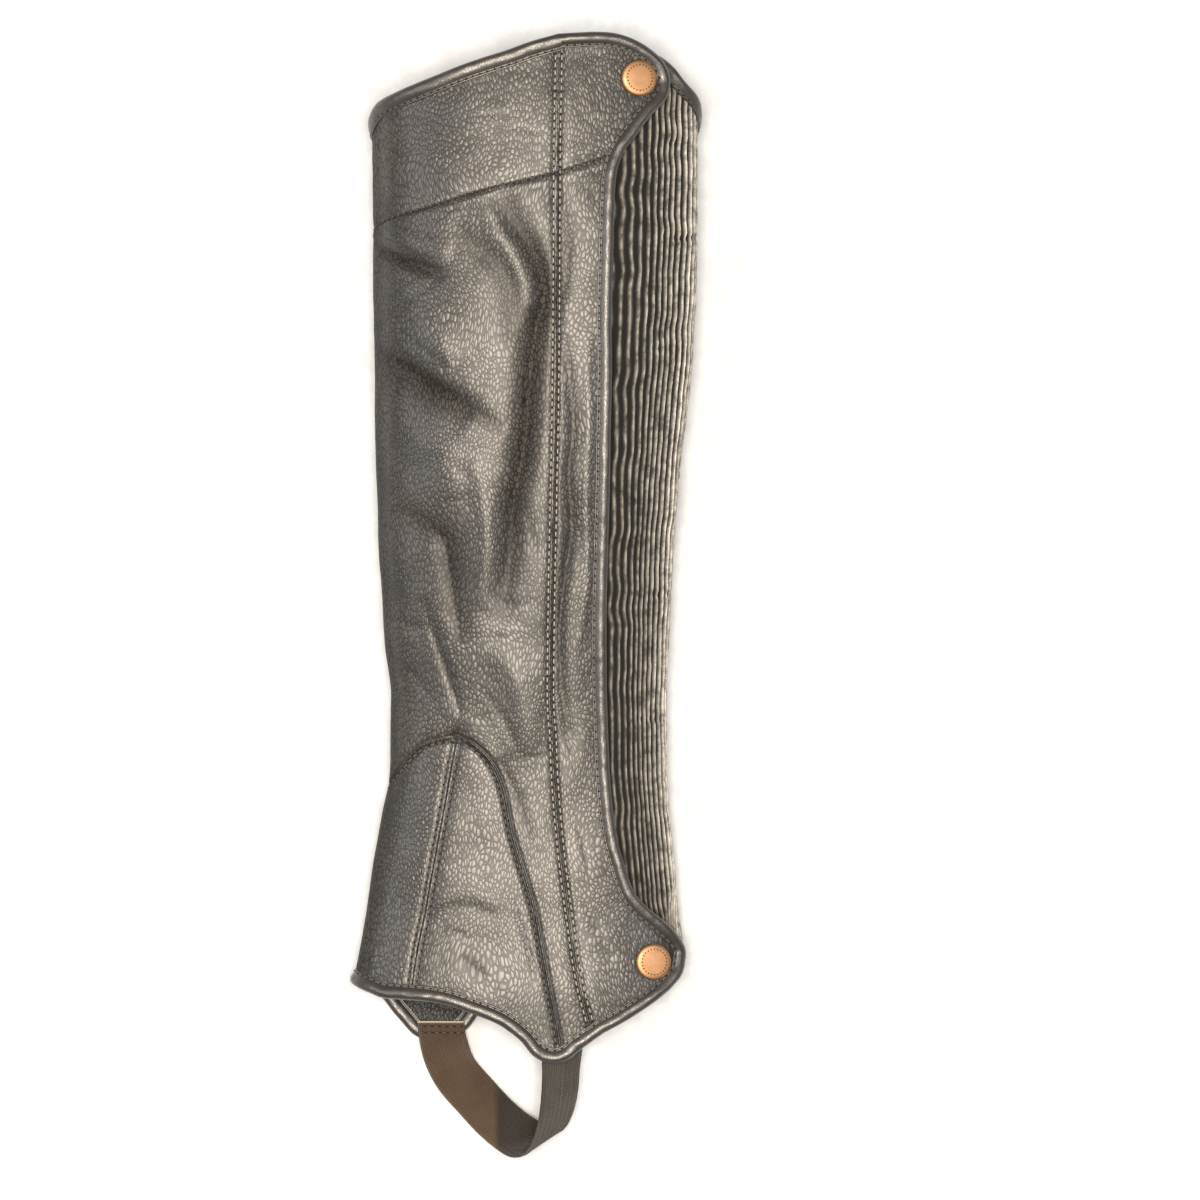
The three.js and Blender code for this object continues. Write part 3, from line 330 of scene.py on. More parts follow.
INSTEP_RIGHT_SEAM = [INSTEP_PEAK, (34.9, 69.0), (39.4, 70.5), (43.1, 73.0), (46.0, 77.8),
                     (51.1, 83.6), (54.3, 88.7), (56.3, 92.3), (58.9, 96.8)]
RIGHT_SEAM_FOOT = (60.4, 99.8)
DART_SEAM = [INSTEP_PEAK, (28.3, 72.0), (26.9, 74.8), (24.3, 79.5), (21.7, 84.4), (19.1, 88.7),
             (17.7, 91.8)]
DART_FOOT = (17.1, 93.8)

seam_across = smooth_column(STRIP_SEAM[:, ::-1], 1)


def seam_nodes(down, out):
    """Points on the long seam behind the shin panel, moved towards the calf by out millimetres."""
    down = np.atleast_1d(down).astype(float)
    across = seam_across(down) + out / CHAP_WIDTH * 100
    return np.stack([upper_angle(across, down), down], 1)


top_route = Route(np.vstack([
    seam_nodes(0.2, -JOIN_GAP / 2), top_nodes(TOP_OUTLINE), [np.pi, 8.0],
    [SHIN_SEAM_ANGLE, KNEE_EDGE], [(SHIN_SEAM_ANGLE + CALF_SEAM_ANGLE) / 2, KNEE_EDGE],
    angle_node(CALF_SEAM_ANGLE, KNEE_EDGE, -0.4),
]))
bottom_route = Route(np.vstack([
    top_nodes(BOTTOM_OUTLINE), [np.pi, 92.6], under_nodes(BOTTOM_UNDER_OUTLINE),
    angle_node(CALF_SEAM_ANGLE, HEEL_EDGE, -0.4),
]))
right_foot = bottom_route.share_of(0, upper_angle(*RIGHT_SEAM_FOOT))
dart_foot = bottom_route.share_of(0, upper_angle(*DART_FOOT))
shin_foot = bottom_route.share_of(0, SHIN_SEAM_ANGLE)
shin_head = top_route.share_of(0, SHIN_SEAM_ANGLE)
nip = SEAM_GAP / 2 / bottom_route.length
left_seam = Route(np.vstack([
    top_nodes(INSTEP_LEFT_SEAM), [np.pi, 73.2], [SHIN_SEAM_ANGLE, 75.5]]))
right_seam = Route(np.vstack([
    top_nodes(INSTEP_RIGHT_SEAM), bottom_route.aside(right_foot, -EDGE_INSET)]))
dart_seam = Route(np.vstack([top_nodes(DART_SEAM), bottom_route.aside(dart_foot, -EDGE_INSET)]))


def between(a, b, share):
    """A straight blend from a at share 0 to b at share 1."""
    return a + (b - a) * np.asarray(share)[..., None]


def gathered(count, pull=0.6):
    """Shares from 0 to 1 whose steps shrink towards both ends, where the seams need more points."""
    even = np.linspace(0, 1, count + 1)
    return even - pull * np.sin(TURN * even) / TURN


def patch(top, bottom, left, right, s, t):
    """A Coons patch: the blend of both pairs of edges, less the blend of the four corners."""
    s, t = s[None, :, None], t[:, None, None]
    corners = ((1 - s) * (1 - t) * top[0] + s * (1 - t) * top[-1]
               + (1 - s) * t * bottom[0] + s * t * bottom[-1])
    return (1 - t) * top + t * bottom + (1 - s) * left[:, None] + s * right[:, None] - corners


def stretch(route, start, end, shares, out):
    """The part of a route from start to end, at the given shares of it, moved to its left."""
    return route.aside(start + (end - start) * shares, out)


def wall_mesh(name, grids, outer, inner, place=skin):
    """A closed wall over grids of angle and percent: an outer skin, an inner skin, and the edges
    between. outer and inner give the height of each point from the middle of the leather."""
    nodes = np.vstack([grid.reshape(-1, 2) for grid in grids])
    quads, start = [], 0
    for grid in grids:
        rows, columns = grid.shape[:2]
        index = start + np.arange(rows * columns).reshape(rows, columns)
        quads.append(np.stack([index[:-1, :-1], index[:-1, 1:], index[1:, 1:], index[1:, :-1]], -1))
        start += rows * columns
    quads = np.vstack([quad.reshape(-1, 4) for quad in quads])
    key = np.round(nodes * [2e4, 2e3]).astype(np.int64)
    _, first, same = np.unique(key, axis=0, return_index=True, return_inverse=True)
    quads = same.reshape(-1)[quads]
    nodes = nodes[first]
    count = len(nodes)
    angle, down = nodes.T
    points = np.vstack([place(angle, down, outer(nodes, first)), place(angle, down, inner(nodes, first))])
    edges = np.vstack([quads[:, [k, (k + 1) % 4]] for k in range(4)])
    rim = edges[~np.isin(edges[:, 0] * count + edges[:, 1], edges[:, 1] * count + edges[:, 0])]
    rims = np.stack([rim[:, 1], rim[:, 0], rim[:, 0] + count, rim[:, 1] + count], 1)
    faces = np.vstack([quads, quads[:, ::-1] + count, rims])
    kinds = np.repeat([0, 1, 0], [len(quads), len(quads), len(rims)])
    return faced_mesh(name, points, faces, kinds)


def faced_mesh(name, points, faces, kinds=None, sharp=50):
    """A smooth mesh object from millimetre points in the leg's own frame and four-sided faces."""
    mesh = bpy.data.meshes.new(name)
    mesh.from_pydata(((points - shift) / 1000).tolist(), [], faces.tolist())
    if kinds is not None:
        mesh.polygons.foreach_set("material_index", kinds.astype(np.int32))
    mesh.polygons.foreach_set("use_smooth", np.ones(len(mesh.polygons), bool))
    mesh.set_sharp_from_angle(angle=np.radians(sharp))
    piece = bpy.data.objects.new(name, mesh)
    bpy.context.scene.collection.objects.link(piece)
    return piece


def seam_line(route, count=500):
    """A line's points in space, how far along it each lies, and the direction to its left there."""
    spots = route.at(np.linspace(0, 1, count))
    points = middle(spots[:, 0], spots[:, 1])
    run = run_along(points)
    left = np.cross(slopes(spots[:, 0], spots[:, 1])[2], np.gradient(points, axis=0))
    return points, run, left / np.linalg.norm(left, axis=1, keepdims=True)


def to_line(spot, line):
    """Distance from each point to the nearest point of a line, above zero on the line's left, and
    how far along the line that is. Only points within about 16 mm of the line get it."""
    points, run, left = line
    away, along = np.full(len(spot), 99.0), np.zeros(len(spot))
    for low in range(0, len(spot), 4000):
        rough = ((spot[low:low + 4000, None] - points[None, ::12]) ** 2).sum(2).min(1)
        near = low + np.nonzero(rough < 16.0 ** 2)[0]
        gap = ((spot[near, None] - points[None]) ** 2).sum(2)
        nearest = gap.argmin(1)
        side = np.sign(((spot[near] - points[nearest]) * left[nearest]).sum(1))
        away[near] = side * np.sqrt(gap.min(1))
        along[near] = run[nearest]
    return away, along


def value_noise(spot, size, seed):
    """Smooth noise from -1 to 1: random values on a cubic grid of the given size, blended."""
    rng = np.random.default_rng(seed)
    table = rng.uniform(-1, 1, (32, 32, 32))
    where = spot / size + 100
    cell = np.floor(where).astype(int)
    t = where - cell
    t = t * t * (3 - 2 * t)
    total = 0
    for corner in np.ndindex(2, 2, 2):
        weight = np.prod(np.where(corner, t, 1 - t), axis=-1)
        total = total + weight * table[tuple(((cell + corner) % 32)[..., k] for k in range(3))]
    return total


def add_node(tree, kind, inputs=None, **settings):
    """Adds a node with its settings, and sets or links each of its inputs."""
    made = tree.nodes.new(kind)
    for name, value in settings.items():
        setattr(made, name, value)
    for name, value in (inputs or {}).items():
        if isinstance(value, bpy.types.NodeSocket):
            tree.links.new(value, made.inputs[name])
        else:
            made.inputs[name].default_value = value
    return made


def colour(code):
    """An sRGB hex colour as the linear RGBA that Blender works in."""
    parts = np.array([int(code[i:i + 2], 16) for i in (1, 3, 5)]) / 255
    linear = np.where(parts <= 0.04045, parts / 12.92, ((parts + 0.055) / 1.055) ** 2.4)
    return (*linear.tolist(), 1.0)


def new_material(name):
    """An empty node material, its tree and its shader."""
    material = bpy.data.materials.new(name)
    material.use_nodes = True
    return material, material.node_tree, material.node_tree.nodes["Principled BSDF"]


def grain_leather(name, base, worn, deep, pebble=1.4, relief=0.215, rough=0.37, coat=0.45, sewn=0.0,
                  folded=True):
    """Full-grain cowhide: pebbles drawn out along the leg, with polished tops, and the creases between them
    painted darker in the deep colour, a painted shade. It gives the eye a satin sheen broken up by bright
    pebbles, with patches of wear. It goes dull in deep folds where it is folded, and where it is sewn it is
    painted near black along the stitch rows, a painted shade in the stitch grooves."""
    material, tree, shader = new_material(name)
    spot = add_node(tree, "ShaderNodeTexCoord").outputs["Object"]
    bend = add_node(tree, "ShaderNodeTexNoise", {"Vector": spot, "Scale": 26.0, "Detail": 1.0})
    warped = add_node(tree, "ShaderNodeVectorMath", {
        0: bend.outputs["Color"], 1: (0.018, 0.018, 0.018), 2: spot}, operation="MULTIPLY_ADD")
    drawn = add_node(tree, "ShaderNodeVectorMath", {
        0: warped.outputs[0], 1: (1.0, 0.5, 1.0)}, operation="MULTIPLY")
    cells = add_node(tree, "ShaderNodeTexVoronoi", {
        "Vector": drawn.outputs[0], "Scale": 1000 / pebble, "Smoothness": 0.2}, feature="SMOOTH_F1")
    creases = add_node(tree, "ShaderNodeTexVoronoi", {
        "Vector": drawn.outputs[0], "Scale": 1000 / pebble}, feature="DISTANCE_TO_EDGE")
    pores = add_node(tree, "ShaderNodeTexNoise", {
        "Vector": spot, "Scale": 2400.0, "Detail": 2.0, "Roughness": 0.5})
    patches = add_node(tree, "ShaderNodeTexNoise", {
        "Vector": spot, "Scale": 30.0, "Detail": 5.0, "Roughness": 0.6})
    depth = add_node(tree, "ShaderNodeTexNoise", {"Vector": spot, "Scale": 60.0, "Detail": 2.0})
    dome = add_node(tree, "ShaderNodeMath", {
        0: cells.outputs["Distance"], 1: cells.outputs["Distance"]}, operation="MULTIPLY")
    top = add_node(tree, "ShaderNodeMapRange", {
        "Value": creases.outputs["Distance"], "From Min": 0.0, "From Max": 0.16,
    }, interpolation_type="SMOOTHSTEP")
    domed = add_node(tree, "ShaderNodeMath", {
        0: dome.outputs[0], 1: -1.6, 2: top.outputs[0]}, operation="MULTIPLY_ADD")
    height = add_node(tree, "ShaderNodeMath", {
        0: pores.outputs["Fac"], 1: 0.22, 2: domed.outputs[0]}, operation="MULTIPLY_ADD")
    strength = add_node(tree, "ShaderNodeMapRange", {
        "Value": depth.outputs["Fac"], "From Min": 0.3, "From Max": 0.7, "To Min": 0.5, "To Max": 1.0})
    wear = add_node(tree, "ShaderNodeMapRange", {
        "Value": patches.outputs["Fac"], "From Min": 0.4, "From Max": 0.68})
    tint = add_node(tree, "ShaderNodeMix", {
        0: wear.outputs[0], 6: colour(base), 7: colour(worn)}, data_type="RGBA")
    # The creases between pebbles take the deep colour: painted shade in the grain
    shade = add_node(tree, "ShaderNodeMix", {
        0: top.outputs[0], 6: colour(deep), 7: tint.outputs[2]}, data_type="RGBA")
    gloss = add_node(tree, "ShaderNodeMath", {
        0: top.outputs[0], 1: -0.25, 2: rough + 0.25}, operation="MULTIPLY_ADD")
    bump = add_node(tree, "ShaderNodeBump", {
        "Height": height.outputs[0], "Distance": relief / 1000, "Strength": strength.outputs[0]})
    row = add_node(tree, "ShaderNodeAttribute", attribute_name="stitch_row")
    near = add_node(tree, "ShaderNodeMath", {0: row.outputs["Fac"]}, operation="ABSOLUTE")
    # Painted shade in the stitch grooves: near black along each stitch row where sewn, and rougher there
    groove_shade = add_node(tree, "ShaderNodeMapRange", {
        "Value": near.outputs[0], "From Min": 0.25, "From Max": 0.7, "To Min": 0.7 * sewn, "To Max": 0.0})
    groove_shaded = add_node(tree, "ShaderNodeMix", {
        0: groove_shade.outputs[0], 6: shade.outputs[2], 7: colour("#060505")}, data_type="RGBA")
    dull = add_node(tree, "ShaderNodeAttribute", attribute_name="dull").outputs["Fac"]
    shaded = add_node(tree, "ShaderNodeMath", {
        0: dull, 1: 0.35, 2: gloss.outputs[0]}, operation="MULTIPLY_ADD")
    matt = add_node(tree, "ShaderNodeMath", {
        0: groove_shade.outputs[0], 1: 0.5, 2: shaded.outputs[0]}, operation="MULTIPLY_ADD")
    shader.inputs["Coat Weight"].default_value = coat
    if folded:
        mirror = add_node(tree, "ShaderNodeMapRange", {"Value": dull, "To Min": 0.5, "To Max": 0.1})
        film = add_node(tree, "ShaderNodeMapRange", {"Value": dull, "To Min": coat, "To Max": 0.0})
        tree.links.new(mirror.outputs[0], shader.inputs["Specular IOR Level"])
        tree.links.new(film.outputs[0], shader.inputs["Coat Weight"])
    tree.links.new(groove_shaded.outputs[2], shader.inputs["Base Color"])
    tree.links.new(matt.outputs[0], shader.inputs["Roughness"])
    tree.links.new(bump.outputs[0], shader.inputs["Normal"])
    shader.inputs["IOR"].default_value = 1.52
    shader.inputs["Coat Roughness"].default_value = 0.34
    return material


def plain_material(name, base, rough, grain, metal=0.0):
    """An even colour that is a little darker and duller in patches, under a fine relief of noise.
    grain holds the relief's size and height in millimetres."""
    material, tree, shader = new_material(name)
    spot = add_node(tree, "ShaderNodeTexCoord").outputs["Object"]
    patches = add_node(tree, "ShaderNodeTexNoise", {
        "Vector": spot, "Scale": 120 / grain[0], "Detail": 5.0, "Roughness": 0.7})
    shade = tuple(0.6 * part for part in colour(base)[:3]) + (1.0,)
    tint = add_node(tree, "ShaderNodeMix", {
        0: patches.outputs["Fac"], 6: shade, 7: colour(base)}, data_type="RGBA")
    gloss = add_node(tree, "ShaderNodeMapRange", {
        "Value": patches.outputs["Fac"], "From Min": 0.3, "From Max": 0.7, "To Min": min(rough + 0.1, 1.0),
        "To Max": rough - 0.05})
    noise = add_node(tree, "ShaderNodeTexNoise", {"Vector": spot, "Scale": 1000 / grain[0], "Detail": 3.0})
    bump = add_node(tree, "ShaderNodeBump", {
        "Height": noise.outputs["Fac"], "Distance": grain[1] / 1000, "Strength": 1.0})
    tree.links.new(tint.outputs[2], shader.inputs["Base Color"])
    tree.links.new(gloss.outputs[0], shader.inputs["Roughness"])
    tree.links.new(bump.outputs[0], shader.inputs["Normal"])
    shader.inputs["Metallic"].default_value = metal
    return material


# Waxed full-grain cowhide, black worn to brown, and the black pigskin that lines it. Each one's last colour
# is the painted shade in its grain's creases.
leather = grain_leather("waxed_cowhide", "#211e1b", "#38332d", "#0a0909", sewn=1.0)
lining = grain_leather("pigskin_lining", "#1f2020", "#343433", "#0b0b0b", pebble=1.1, relief=0.14, rough=0.6,
                       coat=0.0)

long_seam = Route(seam_nodes(np.linspace(0.4, 97.4, 60), 0))
cuff_line = Route(np.vstack([
    top_nodes([(73.2, 11.9), (58.6, 13.5), (48.9, 14.3), (38.0, 15.2), (23.4, 16.7), (10.6, 17.9)]),
    [np.pi, 18.7], [SHIN_SEAM_ANGLE, 19.4]]))
# How far each seam's stitch rows lie to its sides, in millimetres
LONG_ROW = 1.35
LEFT_ROW = 1.1
RIGHT_ROW = 1.3
DART_ROW = 1.9
# Each seam's line, its rows, and the height of the ridge between them. The cuff has one row and no ridge.
SEAMS = [
    (seam_line(long_seam, 900), LONG_ROW, 0.28), (seam_line(left_seam), LEFT_ROW, 0.1),
    (seam_line(right_seam), RIGHT_ROW, 0.16), (seam_line(dart_seam), DART_ROW, 0.1),
    (seam_line(cuff_line), 0, 0),
]


def leather_face(nodes, sewn=True):
    """Height of a panel's face over its flat cut: creases, slow waves, and what the seams draw in."""
    spot = middle(nodes[:, 0], nodes[:, 1])
    face = line_field(spot, crease_runs) * on_top(nodes[:, 0])
    face += 0.35 * value_noise(spot, 19.0, 3) + 0.10 * value_noise(spot, 6.0, 4)
    for line, row, ridge in SEAMS:
        away, along = to_line(spot, line)
        if not row:
            face += 0.35 * np.exp(-((away - 2.0) / 1.0) ** 2)
        away = np.abs(away)
        pull = 0.9 + 0.2 * np.sin(along * 1.9) * np.sin(along * 0.53)
        face -= 0.3 * np.exp(-(away / 4.0) ** 2)
        face += ridge * np.exp(-(away / (0.7 * max(row, 1))) ** 2)
        if sewn:
            face -= (0.4 if row else 0.55) * pull * np.exp(-((away - row) / (0.7 if row else 1.0)) ** 2)
        if row:
            face -= 0.45 * np.exp(-(away / 0.22) ** 2)
    return HALF_LEATHER + face


# How far the stitches' bed lies under the face beside their row
STITCH_SINK = 0.22


def stitch_bed(nodes):
    """The height that stitches lie at, a little under the face beside their row."""
    return leather_face(nodes, sewn=False) - STITCH_SINK


def row_distance(spot):
    """Distance in millimetres to the nearest stitch row, with a sign that changes at the row."""
    nearest = np.full(len(spot), 3.0)
    for line, row, _ in SEAMS:
        away = to_line(spot, line)[0]
        away = np.abs(away) - row if row else away
        nearest = np.where(np.abs(away) < np.abs(nearest), away, nearest)
    return nearest


def dullness(nodes):
    """0 where the leather is polished, up to 1 deep in a fold, and half way down the shin's edge."""
    spot = middle(nodes[:, 0], nodes[:, 1])
    folded = -line_field(spot, fold_runs) * on_top(nodes[:, 0])
    edge = 0.7 * smoothstep(-np.cos(nodes[:, 0]), 0.9, 0.985)
    return np.clip(np.clip(folded / 2.6, 0, 0.85) + edge, 0, 1)


def add_attribute(piece, name, values):
    """A number on each vertex for the material. A wall's are the outer skin's, then the inner skin's."""
    layer = piece.data.attributes.new(name, "FLOAT", "POINT")
    layer.data.foreach_set("value", values.astype(np.float32))


def place_leather(name, grids):
    """One leather panel, its face detailed by the seams and creases near it, its back plain."""
    rows, dulls = [], []

    def outer(nodes, _):
        """The face, with its attributes worked out for the same points."""
        rows.append(row_distance(middle(nodes[:, 0], nodes[:, 1])))
        dulls.append(dullness(nodes))
        return leather_face(nodes)
    piece = wall_mesh(name + "_leather", grids, outer, lambda nodes, _: np.full(len(nodes), -HALF_LEATHER))
    add_attribute(piece, "stitch_row", np.tile(rows[0], 2))
    add_attribute(piece, "dull", np.tile(dulls[0], 2))
    piece.data.materials.append(leather)
    piece.data.materials.append(lining)
    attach(piece, "root")
    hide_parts(name)
    return piece


shin_columns, tongue_columns = 64, 40
tongue_part = tongue_columns / (tongue_columns + shin_columns)
tongue_shares, limb_shares = gathered(tongue_columns), np.linspace(0, 1, shin_columns + 1)
panel_rows, tongue_rows = gathered(220), gathered(100)
half_gap = SEAM_GAP / 2
gap_down = half_gap / CHAP_HEIGHT * 100
gap_across = half_gap / CHAP_WIDTH * 100
peak = np.array([upper_angle(*INSTEP_PEAK), INSTEP_PEAK[1] - gap_down])
shin_top = stretch(top_route, 0, shin_head, np.concatenate([
    tongue_part * tongue_shares, tongue_part + (1 - tongue_part) * limb_shares[1:]]), EDGE_INSET)
seam_start = seam_nodes(peak[1], -half_gap)[0]
peak_row = between(seam_start, peak, tongue_shares)
shin_bottom = np.vstack([peak_row, stretch(left_seam, 0, 1, limb_shares, -half_gap)[1:]])
seam_side = seam_nodes(shin_top[0, 1] + (peak[1] - shin_top[0, 1]) * panel_rows, -half_gap)
seam_side[[0, -1]] = shin_top[0], seam_start
tongue_foot = stretch(bottom_route, 0, right_foot - nip, tongue_shares, -EDGE_INSET)
tongue_seam = seam_nodes(peak[1] + (tongue_foot[0, 1] - peak[1]) * tongue_rows, -half_gap)
tongue_seam[[0, -1]] = seam_start, tongue_foot[0]
tongue_limb = stretch(right_seam, 0, 1, tongue_rows, half_gap)
tongue_limb[[0, -1]] = peak, tongue_foot[-1]
place_leather("shin_panel", [
    patch(shin_top, shin_bottom, seam_side, between(shin_top[-1], shin_bottom[-1], panel_rows),
          np.concatenate([tongue_part * tongue_shares, tongue_part + (1 - tongue_part) * limb_shares[1:]]),
          panel_rows),
    patch(peak_row, tongue_foot, tongue_seam, tongue_limb, tongue_shares, tongue_rows),
])

# Rear strip: the strip behind the long seam, which covers the zip and ends in a snap tab at each end.
# The same cowhide, bound along its free edge and double-stitched to the shin panel.
FLAP_OUTLINE = [
    (71.4, 0.0), (76.0, 0.15), (80.0, 0.55), (84.0, 1.25), (87.1, 2.05), (89.2, 2.9), (90.4, 3.75),
    (90.8, 4.5), (90.6, 5.2), (90.0, 6.0), (88.6, 6.8), (86.0, 7.7), (83.1, 9.0), (81.1, 10.0), (78.6, 11.1),
    (77.1, 12.1), (76.0, 13.3), (75.4, 14.9), (75.1, 17.5), (74.7, 22), (74.3, 28), (74.3, 35.6),
    (73.9, 43), (73.3, 50.5), (72.9, 57), (73.1, 65), (74.1, 72.8), (75.1, 76.2), (76.1, 78.4),
    (77.6, 80.2), (78.9, 81.7), (80.9, 83.4), (84.0, 84.7), (88.0, 85.9), (91.7, 87.1), (94.0, 88.2),
    (95.1, 89.2), (95.1, 90.1), (94.6, 91.2), (92.6, 92.3), (88.9, 93.5), (84.0, 94.7), (78.0, 96.0),
    (72.5, 97.0), (69.5, 97.68),
]
flap_route = Route(np.vstack([top_nodes(FLAP_OUTLINE)[::-1], seam_nodes(0.2, JOIN_GAP / 2)]))
flap_corner = top_nodes([(80.0, 0.55)])[0] * Route.scale
flap_corner = np.linalg.norm(flap_route.dense - flap_corner, axis=1).argmin()
flap_corner = flap_route.run[flap_corner] / flap_route.length
flap_foot = flap_route.share_of(1, 96.3)
strip_columns, strip_rows = gathered(34), np.linspace(0, 1, 300)
strip_top = stretch(flap_route, flap_corner, 1, strip_columns, EDGE_INSET)
strip_edge = stretch(flap_route, flap_corner, flap_foot, strip_rows, EDGE_INSET)
strip_seam = seam_nodes(strip_edge[:, 1], half_gap)
strip_seam[0] = strip_top[-1]
place_leather("rear_strip", [patch(
    strip_top, between(strip_edge[-1], strip_seam[-1], strip_columns), strip_edge, strip_seam,
    strip_columns, strip_rows)])

# Instep panels: two smaller pieces that shape the leather over the foot, joined by the dart.
# The same cowhide, lapped and stitched along the dart and along the shin panel's lower seam.
instep_columns, instep_rows = gathered(60), gathered(90)
split = 4 / 14
side_top = right_seam.aside(split * (1 - instep_columns), -half_gap)
side_top[-1] = upper_angle(INSTEP_PEAK[0] + gap_across, INSTEP_PEAK[1]), INSTEP_PEAK[1] + gap_down
side_foot = stretch(bottom_route, right_foot + nip, dart_foot - nip, instep_columns, -EDGE_INSET)
side_limb = right_seam.aside(split + (1 - split) * instep_rows, -half_gap)
side_limb[[0, -1]] = side_top[0], side_foot[0]
side_dart = stretch(dart_seam, 0, 1, instep_rows, half_gap)
side_dart[[0, -1]] = side_top[-1], side_foot[-1]
place_leather("instep_side", [patch(
    side_top, side_foot, side_limb, side_dart, instep_columns, instep_rows)])
front_top = stretch(left_seam, 0, 1, instep_columns, half_gap)
front_top[0] = upper_angle(INSTEP_PEAK[0] - gap_across, INSTEP_PEAK[1]), INSTEP_PEAK[1] + gap_down
front_foot = stretch(bottom_route, dart_foot + nip, shin_foot - nip, instep_columns, -EDGE_INSET)
front_dart = stretch(dart_seam, 0, 1, instep_rows, -half_gap)
front_dart[[0, -1]] = front_top[0], front_foot[0]
place_leather("instep_front", [patch(
    front_top, front_foot, front_dart, between(front_top[-1], front_foot[-1], instep_rows),
    instep_columns, instep_rows)])

# Medial panel: the inner-leg side that the chap lies on, with the foot point that the strap starts from.
# The same cowhide in one flat piece, sewn to the shin panel in front and the ribbed panel behind.
medial_columns, medial_rows = gathered(70), gathered(200)
medial_top = stretch(top_route, shin_head + SEAM_GAP / top_route.length, 1, medial_columns, EDGE_INSET)
medial_foot = stretch(bottom_route, shin_foot + nip, 1, medial_columns, -EDGE_INSET)
place_leather("medial_panel", [patch(
    medial_top, medial_foot, between(medial_top[0], medial_foot[0], medial_rows),
    between(medial_top[-1], medial_foot[-1], medial_rows), medial_columns, medial_rows)])

# Seam tapes: the folded seam allowances under each leather seam, which close it from inside.
# The same leather pared to 0.8 mm, glued and stitched down behind the seam.
def place_tape(name, route, width=7.0):
    """A thin flat band of five lines along a seam, close under the leather."""
    shares = np.linspace(0.002, 0.998, int(route.length / 2))
    lines = [route.aside(shares, side) for side in np.linspace(-width / 2, width / 2, 5)]
    tape = wall_mesh(name, [np.stack(lines[::-1], 1)],
                     lambda nodes, _: np.full(len(nodes), -HALF_LEATHER - 0.02),
                     lambda nodes, _: np.full(len(nodes), -HALF_LEATHER - 0.8))
    tape.data.materials.append(lining)
    tape.data.materials.append(lining)
    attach(tape, "root")


place_tape("long_seam_tape", long_seam)
place_tape("instep_left_tape", left_seam, 5.0)
place_tape("instep_right_tape", right_seam, 5.0)
place_tape("dart_tape", dart_seam, 5.0)

# Stitches: the rows of thread along the seams and the cuff, each stitch a short arch in the leather.
# Bonded polyester thread with a slight gloss, pale, brown and black, at a pitch of 3.2 mm.
# The real thread is 0.5 mm thick, and most rows are drawn a little thicker, so that they show.
STITCH_PITCH = 3.2
STITCH_LENGTH = 2.3
thread = plain_material("bonded_thread", "#a69e90", 0.4, grain=(0.35, 0.08))
brown_thread = plain_material("brown_bonded_thread", "#5c554a", 0.4, grain=(0.35, 0.08))
dark_thread = plain_material("black_bonded_thread", "#3a352f", 0.35, grain=(0.35, 0.08))
# Near black for the discs at the needle holes: painted shade in the holes
hole_shade = plain_material("needle_hole_painted_shade", "#080707", 0.9, (0.3, 0.05))


def ring_sides(rows, size):
    """The numbers of the points of so many rings, and the quads between each ring and the next."""
    index = np.arange(rows * size).reshape(rows, size)
    turn = np.roll(index, -1, axis=1)
    return index, np.stack([index[:-1], turn[:-1], turn[1:], index[1:]], -1).reshape(-1, 4)


def stitch_mesh(name, rows, thickness=0.66, yarn=thread):
    """Bent capsules along rows of points. Each row holds centres, headings and normals, and a
    capsule's radius follows a half ellipse along it while its ends dip into the leather."""
    t = np.array([-1, -0.93, -0.7, -0.25, 0.25, 0.7, 0.93, 1])
    radius = thickness / 2 * np.sqrt(np.clip(1 - t ** 4, 0.01, 1))
    turns = np.linspace(0, TURN, 7)[:-1]
    sideways = (radius[:, None] * np.cos(turns)).reshape(-1)
    upward = (radius[:, None] * np.sin(turns) * 0.8 + 0.16 - 0.4 * t[:, None] ** 4).reshape(-1)
    forward = np.repeat(t * STITCH_LENGTH / 2, len(turns))
    centres, headings, normals = (np.vstack(part) for part in zip(*rows))
    sides = np.cross(normals, headings)
    points = (centres[:, None] + headings[:, None] * forward[:, None]
              + sides[:, None] * sideways[:, None] + normals[:, None] * upward[:, None])
    index, quads = ring_sides(len(t), len(turns))
    caps = np.array([index[0, [0, 1, 2, 3]], index[0, [0, 3, 4, 5]],
                     index[-1, [3, 2, 1, 0]], index[-1, [5, 4, 3, 0]]])
    quads = np.vstack([quads[:, [0, 3, 2, 1]], caps])
    faces = (quads[None] + index.size * np.arange(len(centres))[:, None, None]).reshape(-1, 4)
    # A dark disc between each stitch and the next: the painted shade of its needle hole
    ring = np.linspace(0, TURN, 9)[:-1]
    ring = 0.46 * np.stack([np.cos(ring), np.sin(ring)], 1)
    holes = (centres[:, None] + headings[:, None] * (ring[:, :1] + STITCH_PITCH / 2)
             + sides[:, None] * ring[:, 1:] + normals[:, None] * 0.14)
    quad = np.array([[0, 1, 2, 3], [0, 3, 4, 7], [4, 5, 6, 7]])
    hole_faces = (quad[None] + 8 * np.arange(len(centres))[:, None, None]).reshape(-1, 4)
    kinds = np.repeat([0, 1], [len(faces), len(hole_faces)])
    points = np.vstack([points.reshape(-1, 3), holes.reshape(-1, 3)])
    faces = np.vstack([faces, hole_faces + index.size * len(centres)])
    piece = faced_mesh(name, points, faces, kinds, sharp=80)
    piece.data.materials.append(yarn)
    piece.data.materials.append(hole_shade)
    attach(piece, "root")
    return piece


